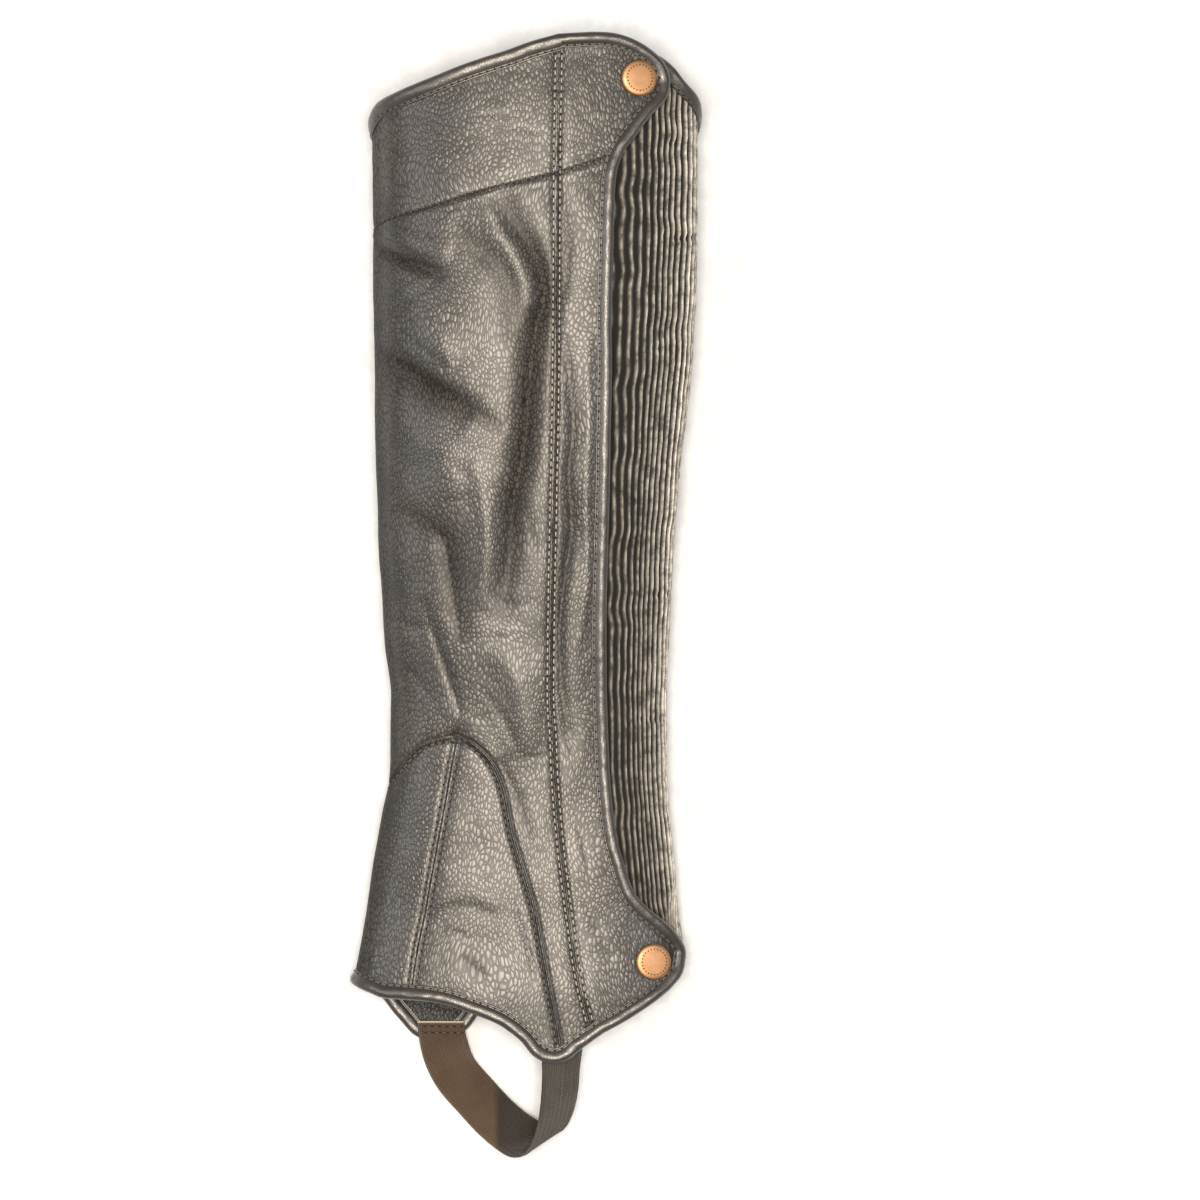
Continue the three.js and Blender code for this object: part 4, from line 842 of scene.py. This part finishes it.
def stitch_row(route, offset, height, place=skin, start=0.0, end=1.0, lean=0.0):
    """Centres, headings and normals of the stitches beside a route, spaced evenly along it."""
    shares = np.linspace(start, end, 1500)
    nodes = route.aside(shares, offset)
    out = height(nodes) if callable(height) else np.full(len(nodes), height)
    points = place(nodes[:, 0], nodes[:, 1], out)
    run = run_along(points)
    count = int(run[-1] / STITCH_PITCH)
    where = (np.arange(count) + 0.5) * run[-1] / count
    centres = np.stack([np.interp(where, run, points[:, k]) for k in range(3)], 1)
    ahead = np.stack([np.interp(where + 0.6, run, points[:, k]) for k in range(3)], 1)
    behind = np.stack([np.interp(where - 0.6, run, points[:, k]) for k in range(3)], 1)
    spots = np.stack([np.interp(where, run, nodes[:, k]) for k in range(2)], 1)
    headings = ahead - behind
    headings /= np.linalg.norm(headings, axis=1, keepdims=True)
    normals = slopes(spots[:, 0], spots[:, 1])[2]
    headings += lean * np.cross(normals, headings)
    headings /= np.linalg.norm(headings, axis=1, keepdims=True)
    return centres, headings, normals


stitch_mesh("seam_stitches", [
    stitch_row(long_seam, LONG_ROW, stitch_bed, start=0.01, end=0.985),
    stitch_row(long_seam, -LONG_ROW, stitch_bed, start=0.01, end=0.985),
])
stitch_mesh("instep_stitches", [
    stitch_row(left_seam, LEFT_ROW, stitch_bed), stitch_row(right_seam, -RIGHT_ROW, stitch_bed, start=0.03),
    stitch_row(dart_seam, DART_ROW, stitch_bed, start=0.07),
    stitch_row(dart_seam, -DART_ROW, stitch_bed, start=0.07),
], 0.6, brown_thread)
stitch_mesh("cuff_stitches", [stitch_row(cuff_line, 0, stitch_bed, lean=0.35)], 0.8, dark_thread)

# Ribbed back panel: the stretch panel over the calf, with ribs that run down the leg.
# Leather bonded to elastic and moulded into fine ribs, sewn to the medial panel and to the zip tape.
RIB_PITCH = 3.4
RIB_DEPTH = 1.65
RIB_HEIGHT = 0.9
BACK_WALL = 1.2
BACK_DROP = 5.0
BACK_INSET = 4.5
back_below = RIB_HEIGHT + BACK_WALL - HALF_LEATHER
back_calf_angle = CALF_SEAM_ANGLE - TURN
CLOSING_LINE = np.array([
    (75.3, 0), (75.1, 16), (74.3, 30), (73.6, 46), (72.9, 57), (73.1, 65), (74.1, 73), (75.2, 80),
    (76.5, 90), (76.8, 96)])
closing_across = smooth_column(CLOSING_LINE[:, ::-1], 1)


def closing_nodes(down, out):
    """Points on the zip's line, where the chap closes, moved towards the calf by out millimetres."""
    down = np.atleast_1d(down).astype(float)
    return np.stack([upper_angle(closing_across(down) + out / CHAP_WIDTH * 100, down), down], 1)


def back_skin(angle, down, out):
    """The leg's surface, lowered under the rear strip and its tabs, where this panel lies beneath."""
    under_flap = smoothstep(angle, 0.1, 0.6)
    under_tab = smoothstep(down, 82, 88) * smoothstep(angle, -0.3, 0.25)
    return skin(angle, down, out - BACK_DROP * np.maximum(under_flap, under_tab))


back_top_route = Route(np.vstack([
    angle_node(back_calf_angle, KNEE_EDGE, SEAM_GAP), [back_calf_angle / 3, KNEE_EDGE],
    top_nodes([(99.0, 7.0), (98.2, 5.6), (96.2, 4.4), (93.6, 3.0), (88.6, 1.9), (80, 1.3)]),
    closing_nodes(1.2, -BACK_INSET)]))
back_bottom_route = Route(np.vstack([
    angle_node(back_calf_angle, HEEL_EDGE, SEAM_GAP), [0, 89.85],
    top_nodes([(93, 90.5), (87, 93.0), (82, 94.2)]), closing_nodes(94.8, -BACK_INSET)]))
closing_35 = closing_nodes(35, -BACK_INSET)[0, 0]
girth = run_along(middle(np.linspace(back_calf_angle, closing_35, 200), 35.0))[-1]
ribs = round(girth / RIB_PITCH)
# Where each rib's mesh lines lie, denser over its top
RIB_STEPS = np.array([-0.5, -0.32, -0.19, -0.09, 0, 0.09, 0.19, 0.32]) + 0.5
rib_shares = np.append((np.arange(ribs)[:, None] + RIB_STEPS).reshape(-1), ribs) / ribs
back_rows = np.linspace(0, 1, 171)
back_top = stretch(back_top_route, 0, 1, rib_shares, EDGE_INSET)
back_foot = stretch(back_bottom_route, 0, 1, rib_shares, 0)
back_calf_down = back_top[0, 1] + (back_foot[0, 1] - back_top[0, 1]) * back_rows
back_calf = np.stack([np.full_like(back_calf_down, back_top[0, 0]), back_calf_down], 1)
back_calf[-1] = back_foot[0]
back_closing = closing_nodes(
    back_top[-1, 1] + (back_foot[-1, 1] - back_top[-1, 1]) * back_rows, -BACK_INSET)
back_closing[[0, -1]] = back_top[-1], back_foot[-1]
back_grid = patch(back_top, back_foot, back_calf, back_closing, rib_shares, back_rows)
rib_phase = np.broadcast_to(rib_shares * ribs, back_grid.shape[:2])
rib_spot = middle(back_grid[..., 0], back_grid[..., 1])
sway = 1.3 * value_noise(rib_spot * [0.4, 1, 0.4], 8.5, 7) + 0.8 * value_noise(rib_spot, 34.0, 8)
sway *= np.sin(np.pi * np.clip(rib_shares * ribs / 3, 0, 0.5))[None]
back_grid[..., 0] += sway / (CHAP_WIDTH / 2)
rib_phase = rib_phase.reshape(-1)
# Lines where the elastic under the ribs is joined, across from and to, and down, all in percent
PUCKERS = [(89.0, 101.0, 10.2), (88.0, 101.0, 19.4), (70.0, 101.0, 30.2), (86.0, 96.0, 54.2),
           (70.0, 93.0, 66.4)]
pucker_runs = fold_lines([(0.8, 1.0, [(x1, y), ((x1 + x2) / 2, y + 0.2), (x2, y)]) for x1, x2, y in PUCKERS])


def rib_leather():
    """Soft nappa moulded over elastic, polished on the rib tops and dull in the valleys. The tops are painted
    pale, a painted highlight in worn patches, and the valleys near black, a painted shade.
    """
    material, tree, shader = new_material("ribbed_nappa")
    spot = add_node(tree, "ShaderNodeTexCoord").outputs["Object"]
    top = add_node(tree, "ShaderNodeAttribute", attribute_name="rib_top")
    wear_and_highlight_patches = add_node(tree, "ShaderNodeTexNoise", {
        "Vector": spot, "Scale": 220.0, "Detail": 4.0, "Roughness": 0.65})
    worn = add_node(tree, "ShaderNodeMapRange", {
        "Value": wear_and_highlight_patches.outputs["Fac"], "From Min": 0.36, "From Max": 0.64, "To Min": 0.2, "To Max": 1.0})
    share = add_node(tree, "ShaderNodeMath", {
        0: top.outputs["Fac"], 1: worn.outputs[0]}, operation="MULTIPLY")
    # Near black valleys as painted shade, pale rib tops as painted highlight
    tint = add_node(tree, "ShaderNodeMix", {
        0: share.outputs[0], 6: colour("#0b0a09"), 7: colour("#b8b4ac")}, data_type="RGBA")
    gloss = add_node(tree, "ShaderNodeMapRange", {
        "Value": top.outputs["Fac"], "From Min": 0.15, "From Max": 0.75, "To Min": 0.95, "To Max": 0.34})
    wrinkle = add_node(tree, "ShaderNodeTexNoise", {"Vector": spot, "Scale": 900.0, "Detail": 3.0})
    bump = add_node(tree, "ShaderNodeBump", {
        "Height": wrinkle.outputs["Fac"], "Distance": 0.00025, "Strength": 0.7})
    tree.links.new(tint.outputs[2], shader.inputs["Base Color"])
    tree.links.new(gloss.outputs[0], shader.inputs["Roughness"])
    tree.links.new(bump.outputs[0], shader.inputs["Normal"])
    return material


def rib_top(nodes, first):
    """0 in the valleys and 1 on the ribs, which narrow and widen down the leg."""
    phase = np.abs((rib_phase[first] + 0.5) % 1 - 0.5)
    spot = middle(nodes[:, 0], nodes[:, 1])
    wide = 0.14 + 0.045 * value_noise(spot, 7.0, 14)
    return np.exp(-(phase / wide) ** 2)


rib_tops = []


def back_face(nodes, first):
    """Ribs with narrow round tops over wide valleys, pinched where the elastic is joined."""
    spot = middle(nodes[:, 0], nodes[:, 1])
    rib_tops.append(rib_top(nodes, first))
    tall = 1 - 0.2 * (1 + value_noise(spot, 4.0, 9)) * 0.8
    pinch = line_field(spot, pucker_runs)
    pinch *= 1 + 0.5 * value_noise(spot, 3.0, 15)
    sink = RIB_DEPTH * (1 - rib_top(nodes, first) * tall * (1 - 0.6 * np.clip(pinch, 0, 1)))
    slack = 0.2 * value_noise(spot, 22.0, 10) + 0.12 * value_noise(spot, 2.2, 16)
    return HALF_LEATHER + 0.1 - sink + slack


back_panel = wall_mesh("ribbed_calf_panel", [back_grid], back_face,
                       lambda nodes, _: np.full(len(nodes), -back_below), back_skin)
add_attribute(back_panel, "rib_top", np.tile(rib_tops[0], 2))
back_panel.data.materials.append(rib_leather())
back_panel.data.materials.append(lining)
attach(back_panel, "root")
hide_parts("back_panel")

# Bindings: narrow strips folded over the top, flap, bottom and ribbed edges, each with a rolled bead.
# Thin smooth calf leather 1.2 mm thick, wrapped round a cord at the edge and stitched through.
# Its last colour is the painted shade in the grain's creases
binding_leather = grain_leather("smooth_calf_binding", "#2a2725", "#3d3936", "#1b1918", pebble=0.9,
                                relief=0.035, rough=0.31, coat=0.6, folded=False)
# The section's upper line from the stitched flange over the bead to the nose, for a 6 mm reach
PROFILE_REACH = 6
EDGE_PROFILE = [(6.0, 0.95), (5.95, 1.35), (5.6, 1.5), (5.0, 1.42), (4.45, 1.35), (4.0, 1.6), (3.0, 2.15),
                (1.8, 2.5), (0.5, 2.62), (-0.6, 2.4), (-1.5, 1.7), (-1.85, 0.85)]
# How many nodes ahead and behind give the edge's direction, so that the section turns smoothly at the tabs
HEADING_SPAN = 7


def channel(above, below, reach_in):
    """Outer and inner line of a folded binding's section, as inward and upward millimetres."""
    shape = np.array(EDGE_PROFILE)
    shape[:, 0] = np.where(shape[:, 0] > 0, shape[:, 0] * reach_in / PROFILE_REACH, shape[:, 0])
    rise, fall = above - HALF_LEATHER, HALF_LEATHER - below
    top = shape + [0, rise]
    foot = (shape * [1, -1])[::-1] + [0, fall]
    outer = catmull(np.vstack([top, [(-1.9, (rise + fall) / 2)], foot]), 2)
    reach = np.linspace(0, 1, len(outer))
    nose = np.array([(reach_in - 0.1, above - 0.3), (-0.4, above - 0.3),
                     (-0.4, 0.3 - below), (reach_in - 0.1, 0.3 - below)])
    inner = np.stack([np.interp(reach, [0, 0.4, 0.6, 1], nose[:, k]) for k in (0, 1)], 1)
    return outer, inner


def place_binding(name, edge, reach_in, place=skin, above=HALF_LEATHER, below=HALF_LEATHER, lap=0.0):
    """Sweeps the folded section along an edge's nodes, with small puckers between the stitches."""
    outer, inner = channel(above, below, reach_in)
    ring = np.vstack([outer, inner[::-1]])
    edge[0] += lap * (edge[0] - edge[1])
    spots = np.arange(len(edge))
    ahead = edge[np.minimum(spots + HEADING_SPAN, len(edge) - 1)]
    behind = edge[np.maximum(spots - HEADING_SPAN, 0)]
    step = side_step(edge, ahead - behind)
    nodes = edge[:, None] + ring[None, :, :1] * step[:, None]
    spot = middle(nodes[..., 0], nodes[..., 1])
    rise = ring[None, :, 1] * (1 + 0.07 * value_noise(spot, 5.0, 12) + 0.05 * value_noise(spot, 2.4, 13))
    points = place(nodes[..., 0], nodes[..., 1], rise)
    size = points.shape[1]
    index, sides = ring_sides(*points.shape[:2])
    half = size // 2
    near, far = index[0], index[-1]
    caps = [np.stack([end[:half - 1], end[size - 1:half:-1], end[size - 2:half - 1:-1], end[1:half]], 1)
            for end in (near, far)]
    piece = faced_mesh(name + "_roll", points.reshape(-1, 3),
                       np.vstack([sides, caps[0], caps[1][:, ::-1]]), sharp=70)
    piece.data.materials.append(binding_leather)
    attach(piece, "root")
    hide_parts(name)
    return piece


place_binding("top_binding", stretch(top_route, 0, 1, np.linspace(0, 1, 260), EDGE_INSET), 5.6)
place_binding("flap_binding", stretch(flap_route, 0, 1, np.linspace(0, 1, 440), EDGE_INSET), 4.4, lap=0.9)
place_binding("bottom_binding",
              stretch(bottom_route, 0, 1, np.linspace(0, 1, 330), -EDGE_INSET)[::-1], 4.8)
place_binding("back_binding", stretch(back_top_route, 0, 1, np.linspace(0, 1, 120), EDGE_INSET), 4.2,
              back_skin, HALF_LEATHER, back_below)
stitch_mesh("binding_stitches", [
    stitch_row(top_route, EDGE_INSET + 4.6, 1.5, start=0.005), stitch_row(flap_route, EDGE_INSET + 3.6, 1.5),
    stitch_row(bottom_route, -EDGE_INSET - 4.0, 1.5),
    stitch_row(back_top_route, EDGE_INSET + 3.5, 1.5, place=back_skin),
], 0.5, brown_thread)

# Stirrup strap: the band that passes under the shoe, from the foot point to the rear tab.
# Elastic webbing 20.5 mm wide and 1.6 mm thick, woven with fine ribs along it and sewn at both ends.
STRAP_WIDTH = 20.5
STRAP_THICKNESS = 1.6
STRAP = np.array([
    (18.0, 96.4, 32.3, 96.4, 0), (18.6, 97.8, 32.6, 97.8, 0), (20.3, 100.6, 33.7, 99.0, -5),
    (24.3, 103.2, 34.9, 100.1, -10), (30.3, 105.7, 40.6, 102.3, -13), (36.3, 107.8, 46.0, 104.3, -10),
    (42.3, 109.3, 51.4, 105.8, 3), (46.9, 109.7, 57.1, 107.0, 32), (50.6, 108.8, 60.9, 106.8, 64),
    (52.9, 106.8, 63.4, 105.3, 87), (54.0, 104.7, 64.9, 103.1, 98), (54.6, 102.2, 65.4, 101.0, 103),
    (54.6, 100.0, 66.0, 99.4, 103), (54.0, 98.2, 66.6, 97.8, 100), (53.7, 96.5, 67.1, 96.3, 100),
])
strap_under = HALF_LEATHER + BINDING_GAP + BINDING_LEATHER + 0.3 + STRAP_THICKNESS / 2
low_end = skin(TURN - upper_angle(*STRAP[0, :2]), STRAP[0, 1], -strap_under)[2]
high_end = skin(upper_angle(*STRAP[-1, 2:4]), STRAP[-1, 3], -strap_under)[2]
height = low_end + (high_end - low_end) * STRAP[:, 4] / 100
edge_a = np.stack([across_to_x(STRAP[:, 0]), down_to_y(STRAP[:, 1]), height], 1)
edge_b = np.stack([across_to_x(STRAP[:, 2]), down_to_y(STRAP[:, 3]), height], 1)
flat = np.minimum(np.linalg.norm(edge_b - edge_a, axis=1), STRAP_WIDTH)
edge_b[:, 2] -= np.sqrt(STRAP_WIDTH ** 2 - flat ** 2)
edge_a, edge_b = catmull(edge_a, 16), catmull(edge_b, 16)
centre = (edge_a + edge_b) / 2
wide = edge_b - edge_a
wide /= np.linalg.norm(wide, axis=1, keepdims=True)
thick = np.cross(np.gradient(centre, axis=0), wide)
thick /= np.linalg.norm(thick, axis=1, keepdims=True)
across_steps = 48
across = (np.linspace(0, 1, across_steps + 1) - 0.5) * STRAP_WIDTH
selvedge = np.sqrt(np.clip(1 - (np.abs(across) / (STRAP_WIDTH / 2)) ** 14, 0.02, 1))
cord = 0.14 * np.exp(-((np.abs(across) - 8.6) / 0.5) ** 2) + 0.05 * np.cos(across * TURN / 1.7)
half_thick = (STRAP_THICKNESS / 2 + cord - 0.05) * selvedge
upper = centre[:, None] + across[None, :, None] * wide[:, None] + half_thick[None, :, None] * thick[:, None]
lower = centre[:, None] + across[None, :, None] * wide[:, None] - half_thick[None, :, None] * thick[:, None]
ring = np.concatenate([upper, lower[:, ::-1]], 1)
rows, size = ring.shape[:2]
index, sides = ring_sides(rows, size)
sides = sides[:, [0, 3, 2, 1]]
ends = [np.stack([end[:across_steps], end[size - 1:across_steps + 1:-1],
                  end[size - 2:across_steps:-1], end[1:across_steps + 1]], 1) for end in index[[0, -1]]]
is_lower = np.broadcast_to(np.arange(size) > across_steps, (rows - 1, size)).reshape(-1)
kinds = np.concatenate([is_lower, np.zeros(2 * across_steps, bool)])
strap = faced_mesh("elastic_strap", ring.reshape(-1, 3), np.vstack([sides, ends[0][:, ::-1], ends[1]]), kinds)
along = np.broadcast_to(run_along(centre)[:, None], (rows, size))
spread = np.broadcast_to(np.concatenate([across, across[::-1]]), (rows, size))
add_attribute(strap, "along", along.reshape(-1))
add_attribute(strap, "across", spread.reshape(-1))


def webbing(name, base, pale, painted_shadow=0.0):
    """Woven elastic: rows of weft knots 0.75 mm apart over rubber cords, with a dry nap, the knot tops
    painted paler in dusty patches, partly dust and partly a painted highlight. Past a line across it, it is
    painted dark as a painted shadow of the strap's outer arm, as strong as the last argument, and its cut end
    shows pale rubber."""
    material, tree, shader = new_material(name)
    along = add_node(tree, "ShaderNodeAttribute", attribute_name="along").outputs["Fac"]
    across = add_node(tree, "ShaderNodeAttribute", attribute_name="across").outputs["Fac"]
    half_row = add_node(tree, "ShaderNodeMath", {0: across, 1: TURN / 1.5}, operation="MULTIPLY")
    swing = add_node(tree, "ShaderNodeMath", {0: half_row.outputs[0]}, operation="SINE")
    stagger = add_node(tree, "ShaderNodeMath", {
        0: swing.outputs[0], 1: 0.19, 2: along}, operation="MULTIPLY_ADD")
    weft_turn = add_node(tree, "ShaderNodeMath", {
        0: stagger.outputs[0], 1: TURN / 0.75}, operation="MULTIPLY")
    weft = add_node(tree, "ShaderNodeMath", {0: weft_turn.outputs[0]}, operation="SINE")
    warp_turn = add_node(tree, "ShaderNodeMath", {0: across, 1: TURN / 0.95}, operation="MULTIPLY")
    warp = add_node(tree, "ShaderNodeMath", {0: warp_turn.outputs[0]}, operation="COSINE")
    spot = add_node(tree, "ShaderNodeTexCoord").outputs["Object"]
    nap = add_node(tree, "ShaderNodeTexNoise", {"Vector": spot, "Scale": 1600.0, "Detail": 4.0})
    dust = add_node(tree, "ShaderNodeTexNoise", {"Vector": spot, "Scale": 60.0, "Detail": 4.0})
    knots = add_node(tree, "ShaderNodeMath", {0: weft.outputs[0], 1: warp.outputs[0]}, operation="ADD")
    rough = add_node(tree, "ShaderNodeMath", {
        0: nap.outputs["Fac"], 1: 1.6, 2: knots.outputs[0]}, operation="MULTIPLY_ADD")
    # Knot tops painted paler where the dust patches are: partly dust, partly a painted highlight
    lit = add_node(tree, "ShaderNodeMapRange", {
        "Value": rough.outputs[0], "From Min": -1.2, "From Max": 2.6, "To Min": 0.0, "To Max": 0.7})
    worn = add_node(tree, "ShaderNodeMath", {
        0: dust.outputs["Fac"], 1: lit.outputs[0]}, operation="MULTIPLY")
    tint = add_node(tree, "ShaderNodeMix", {
        0: worn.outputs[0], 6: colour(base), 7: colour(pale)}, data_type="RGBA")
    # Painted shadow: the face goes dark past a line across the strap, a shadow of its outer arm
    across_x = add_node(tree, "ShaderNodeSeparateXYZ", {0: spot})
    shadow_mask = add_node(tree, "ShaderNodeMapRange", {
        "Value": across_x.outputs["X"], "From Min": -0.0145, "From Max": -0.0115, "To Max": painted_shadow})
    shadowed = add_node(tree, "ShaderNodeMix", {
        0: shadow_mask.outputs[0], 6: tint.outputs[2], 7: colour("#110c08")}, data_type="RGBA")
    cut = add_node(tree, "ShaderNodeMapRange", {
        "Value": along, "From Min": 0.5, "From Max": 1.0, "To Min": 1.0, "To Max": 0.0})
    ended = add_node(tree, "ShaderNodeMix", {
        0: cut.outputs[0], 6: shadowed.outputs[2], 7: colour("#b3a898")}, data_type="RGBA")
    bump = add_node(tree, "ShaderNodeBump", {
        "Height": rough.outputs[0], "Distance": 0.00016, "Strength": 0.9})
    tree.links.new(ended.outputs[2], shader.inputs["Base Color"])
    tree.links.new(bump.outputs[0], shader.inputs["Normal"])
    shader.inputs["Roughness"].default_value = 0.9
    shader.inputs["Sheen Weight"].default_value = 0.15
    return material


# The inner face carries the painted shadow at 0.85
strap.data.materials.append(webbing("elastic_inner_face", "#2a1d12", "#8a6c4c", 0.85))
strap.data.materials.append(webbing("elastic_outer_face", "#231e19", "#655c50"))
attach(strap, "root")
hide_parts("stirrup_strap")
sewn_rows = []
for reach in (2.4, 5.0):
    i = int(np.abs(along[:, 0] - reach).argmin())
    spots = np.arange(-8.6, 8.7, STITCH_PITCH)[:, None]
    sewn_rows.append((centre[i] + spots * wide[i] + (STRAP_THICKNESS / 2 - 0.05) * thick[i],
                      np.repeat(wide[i:i + 1], len(spots), 0), np.repeat(thick[i:i + 1], len(spots), 0)))
stitch_mesh("strap_stitches", sewn_rows, 0.8, dark_thread)

# Snap caps: the two round caps on the tabs, each with a domed middle and a ring of plain dots.
# Brass plated in copper, pressed from sheet and riveted through the leather.
# From the middle of the dome out and down to the foot, as radius and height
CAP_PROFILE = [(0.0, 2.27), (2.0, 2.25), (4.0, 2.19), (5.5, 2.1), (6.5, 1.97), (7.15, 1.76), (7.6, 1.35),
               (7.85, 0.8), (7.85, 0.3), (7.6, 0.0)]
DOT_RING = 5.5
CAP_TOP = 2.09
DOTS = 24
# A dot's radius and height over the cap at its three rings, set into the cap at the first
DOT_PROFILE = ((0.42, -0.1), (0.34, 0.06), (0.1, 0.1))
# Copper plate, pressed and handled: it gives the eye a soft orange sheen with no sharp reflection
copper = plain_material("copper_plated_brass", "#c09570", 0.5, (0.5, 0.02), 1.0)
dark_copper = plain_material("tarnished_copper", "#6f482f", 0.55, (0.3, 0.03), 1.0)


def place_cap(name, across, down):
    """The profile turned round the leather's normal, with small domed dots evenly round it."""
    angle = float(upper_angle(across, down))
    _, _, normal = slopes(np.array([angle]), np.array([float(down)]))
    foot = skin(np.array([angle]), np.array([float(down)]), HALF_LEATHER + 0.3)[0]
    normal = normal[0]
    side = np.cross(normal, [0, 1, 0])
    side /= np.linalg.norm(side)
    front = np.cross(normal, side)
    profile = catmull(CAP_PROFILE, 4)[1:]
    turns = np.linspace(0, TURN, 96, endpoint=False)
    round_way = np.cos(turns)[:, None] * side + np.sin(turns)[:, None] * front
    rings = foot + profile[:, None, :1] * round_way + profile[:, None, 1:] * normal
    index, sides = ring_sides(*rings.shape[:2])
    faces = sides.tolist() + [index[0][::-1].tolist(), index[-1].tolist()]
    spin = np.linspace(0, TURN, DOTS, endpoint=False)[:, None, None]
    ring = np.linspace(0, TURN, 8, endpoint=False)[None, :, None]
    around = np.cos(spin) * side + np.sin(spin) * front
    beside = np.cross(normal, around)
    dots = np.stack([
        foot + around * (DOT_RING + wide * np.cos(ring)) + beside * wide * np.sin(ring)
        + normal * (CAP_TOP + lift) for wide, lift in DOT_PROFILE], 1)
    loop, dot = ring_sides(3, 8)
    base = index.size
    dot_faces = (dot[None] + base + 24 * np.arange(DOTS)[:, None, None]).reshape(-1, 4).tolist()
    lids = (loop[2][None] + base + 24 * np.arange(DOTS)[:, None]).tolist()
    kinds = np.repeat([0, 1], [len(faces), len(dot_faces) + len(lids)])
    faces += dot_faces + lids
    rings = np.vstack([rings.reshape(-1, 3), dots.reshape(-1, 3)])
    mesh = bpy.data.meshes.new("cap_" + name)
    mesh.from_pydata(((rings.reshape(-1, 3) - shift) / 1000).tolist(), [], faces)
    mesh.polygons.foreach_set("use_smooth", np.ones(len(faces), bool))
    mesh.polygons.foreach_set("material_index", kinds.astype(np.int32))
    piece = bpy.data.objects.new(name + "_copper_cap", mesh)
    bpy.context.scene.collection.objects.link(piece)
    piece.data.materials.append(copper)
    piece.data.materials.append(dark_copper)
    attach(piece, "root")
    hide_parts("snap_cap_" + name)


place_cap("top", 82.0, 4.4)
place_cap("bottom", 86.2, 90.2)

# Zip and snap studs: the closed zip under the rear strip and the hidden halves of the two snaps.
# The zip is nylon tape dyed black, sewn under the strip. The studs are plated brass, turned and riveted.
def give_material(node, material):
    """Puts a material on every slot of a CAD node's object."""
    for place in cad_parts[node].material_slots:
        place.material = material


def zip_tape(name):
    """Nylon tape with its coil closed: dull teeth 1.3 mm apart down the leg, as a sine of the height, on a
    black weave, with the teeth tops and raised threads painted lighter as a painted highlight."""
    material, tree, shader = new_material(name)
    spot = add_node(tree, "ShaderNodeTexCoord").outputs["Object"]
    height = add_node(tree, "ShaderNodeSeparateXYZ", {0: spot}).outputs["Y"]
    pace = add_node(tree, "ShaderNodeMath", {0: height, 1: TURN / 0.0013}, operation="MULTIPLY")
    teeth = add_node(tree, "ShaderNodeMath", {0: pace.outputs[0]}, operation="SINE")
    nap = add_node(tree, "ShaderNodeTexNoise", {"Vector": spot, "Scale": 1600.0, "Detail": 4.0})
    relief = add_node(tree, "ShaderNodeMath", {
        0: nap.outputs["Fac"], 1: 0.8, 2: teeth.outputs[0]}, operation="MULTIPLY_ADD")
    # Teeth tops and raised threads painted lighter: painted highlight
    lit = add_node(tree, "ShaderNodeMapRange", {
        "Value": relief.outputs[0], "From Min": -0.8, "From Max": 1.6, "To Min": 0.0, "To Max": 0.8})
    tint = add_node(tree, "ShaderNodeMix", {
        0: lit.outputs[0], 6: colour("#0e0e0e"), 7: colour("#33322f")}, data_type="RGBA")
    bump = add_node(tree, "ShaderNodeBump", {
        "Height": relief.outputs[0], "Distance": 0.0002, "Strength": 0.8})
    tree.links.new(tint.outputs[2], shader.inputs["Base Color"])
    tree.links.new(bump.outputs[0], shader.inputs["Normal"])
    shader.inputs["Roughness"].default_value = 0.62
    return material


give_material("zip", zip_tape("black_zip_tape"))
# Nickel plate, turned: it gives the eye a cool grey shine
brass = plain_material("nickel_plated_brass", "#b9b2a6", 0.32, (0.4, 0.03), 1.0)
give_material("snap_stud_top", brass)
give_material("snap_stud_bottom", brass)

# Camera, light and floor: the photo's straight look down at a pale table, lit from a wide soft light.
def place_light(name, spot, size, power, tone="#ffffff"):
    """A square soft light at a spot, turned towards the origin."""
    light = bpy.data.lights.new(name, "AREA")
    light.size = size
    light.energy = power
    light.color = colour(tone)[:3]
    lamp = bpy.data.objects.new(name, light)
    lamp.location = spot
    lamp.rotation_euler = (-Vector(spot)).to_track_quat("-Z", "Y").to_euler()
    bpy.context.scene.collection.objects.link(lamp)


floor_mesh = bpy.data.meshes.new("floor")
floor_mesh.from_pydata([(-3, -3, 0), (3, -3, 0), (3, 3, 0), (-3, 3, 0)], [], [(0, 1, 2, 3)])
floor = bpy.data.objects.new("floor", floor_mesh)
bpy.context.scene.collection.objects.link(floor)
# Painted board: matt and near white, a little cool, so that the warm key light leaves it white
floor.data.materials.append(plain_material("pale_table", "#e2e7ee", 0.9, (1.5, 0.03)))
place_light("key_light", (-0.02, -0.06, 2.5), 1.0, 103, "#fff1de")
place_light("left_light", (-1.5, 0.1, 1.5), 1.2, 16)
place_light("right_light", (1.2, 0.0, 1.8), 0.6, 9)
world = bpy.data.worlds.new("studio")
bpy.context.scene.world = world
world.use_nodes = True
world.node_tree.nodes["Background"].inputs["Color"].default_value = colour("#ffffff")
world.node_tree.nodes["Background"].inputs["Strength"].default_value = 0.2
bpy.context.scene.view_settings.view_transform = "Standard"
camera_data = bpy.data.cameras.new("camera")
camera_data.sensor_width = 36
# A lens that takes in 0.516 m at 2.2 m, 1200 photo pixels of 0.43 mm
camera_data.lens = 36 * 2.2 / 0.516
camera = bpy.data.objects.new("camera", camera_data)
camera.location = (0.032, 0.0003, 2.228)
bpy.context.scene.collection.objects.link(camera)
bpy.context.scene.camera = camera
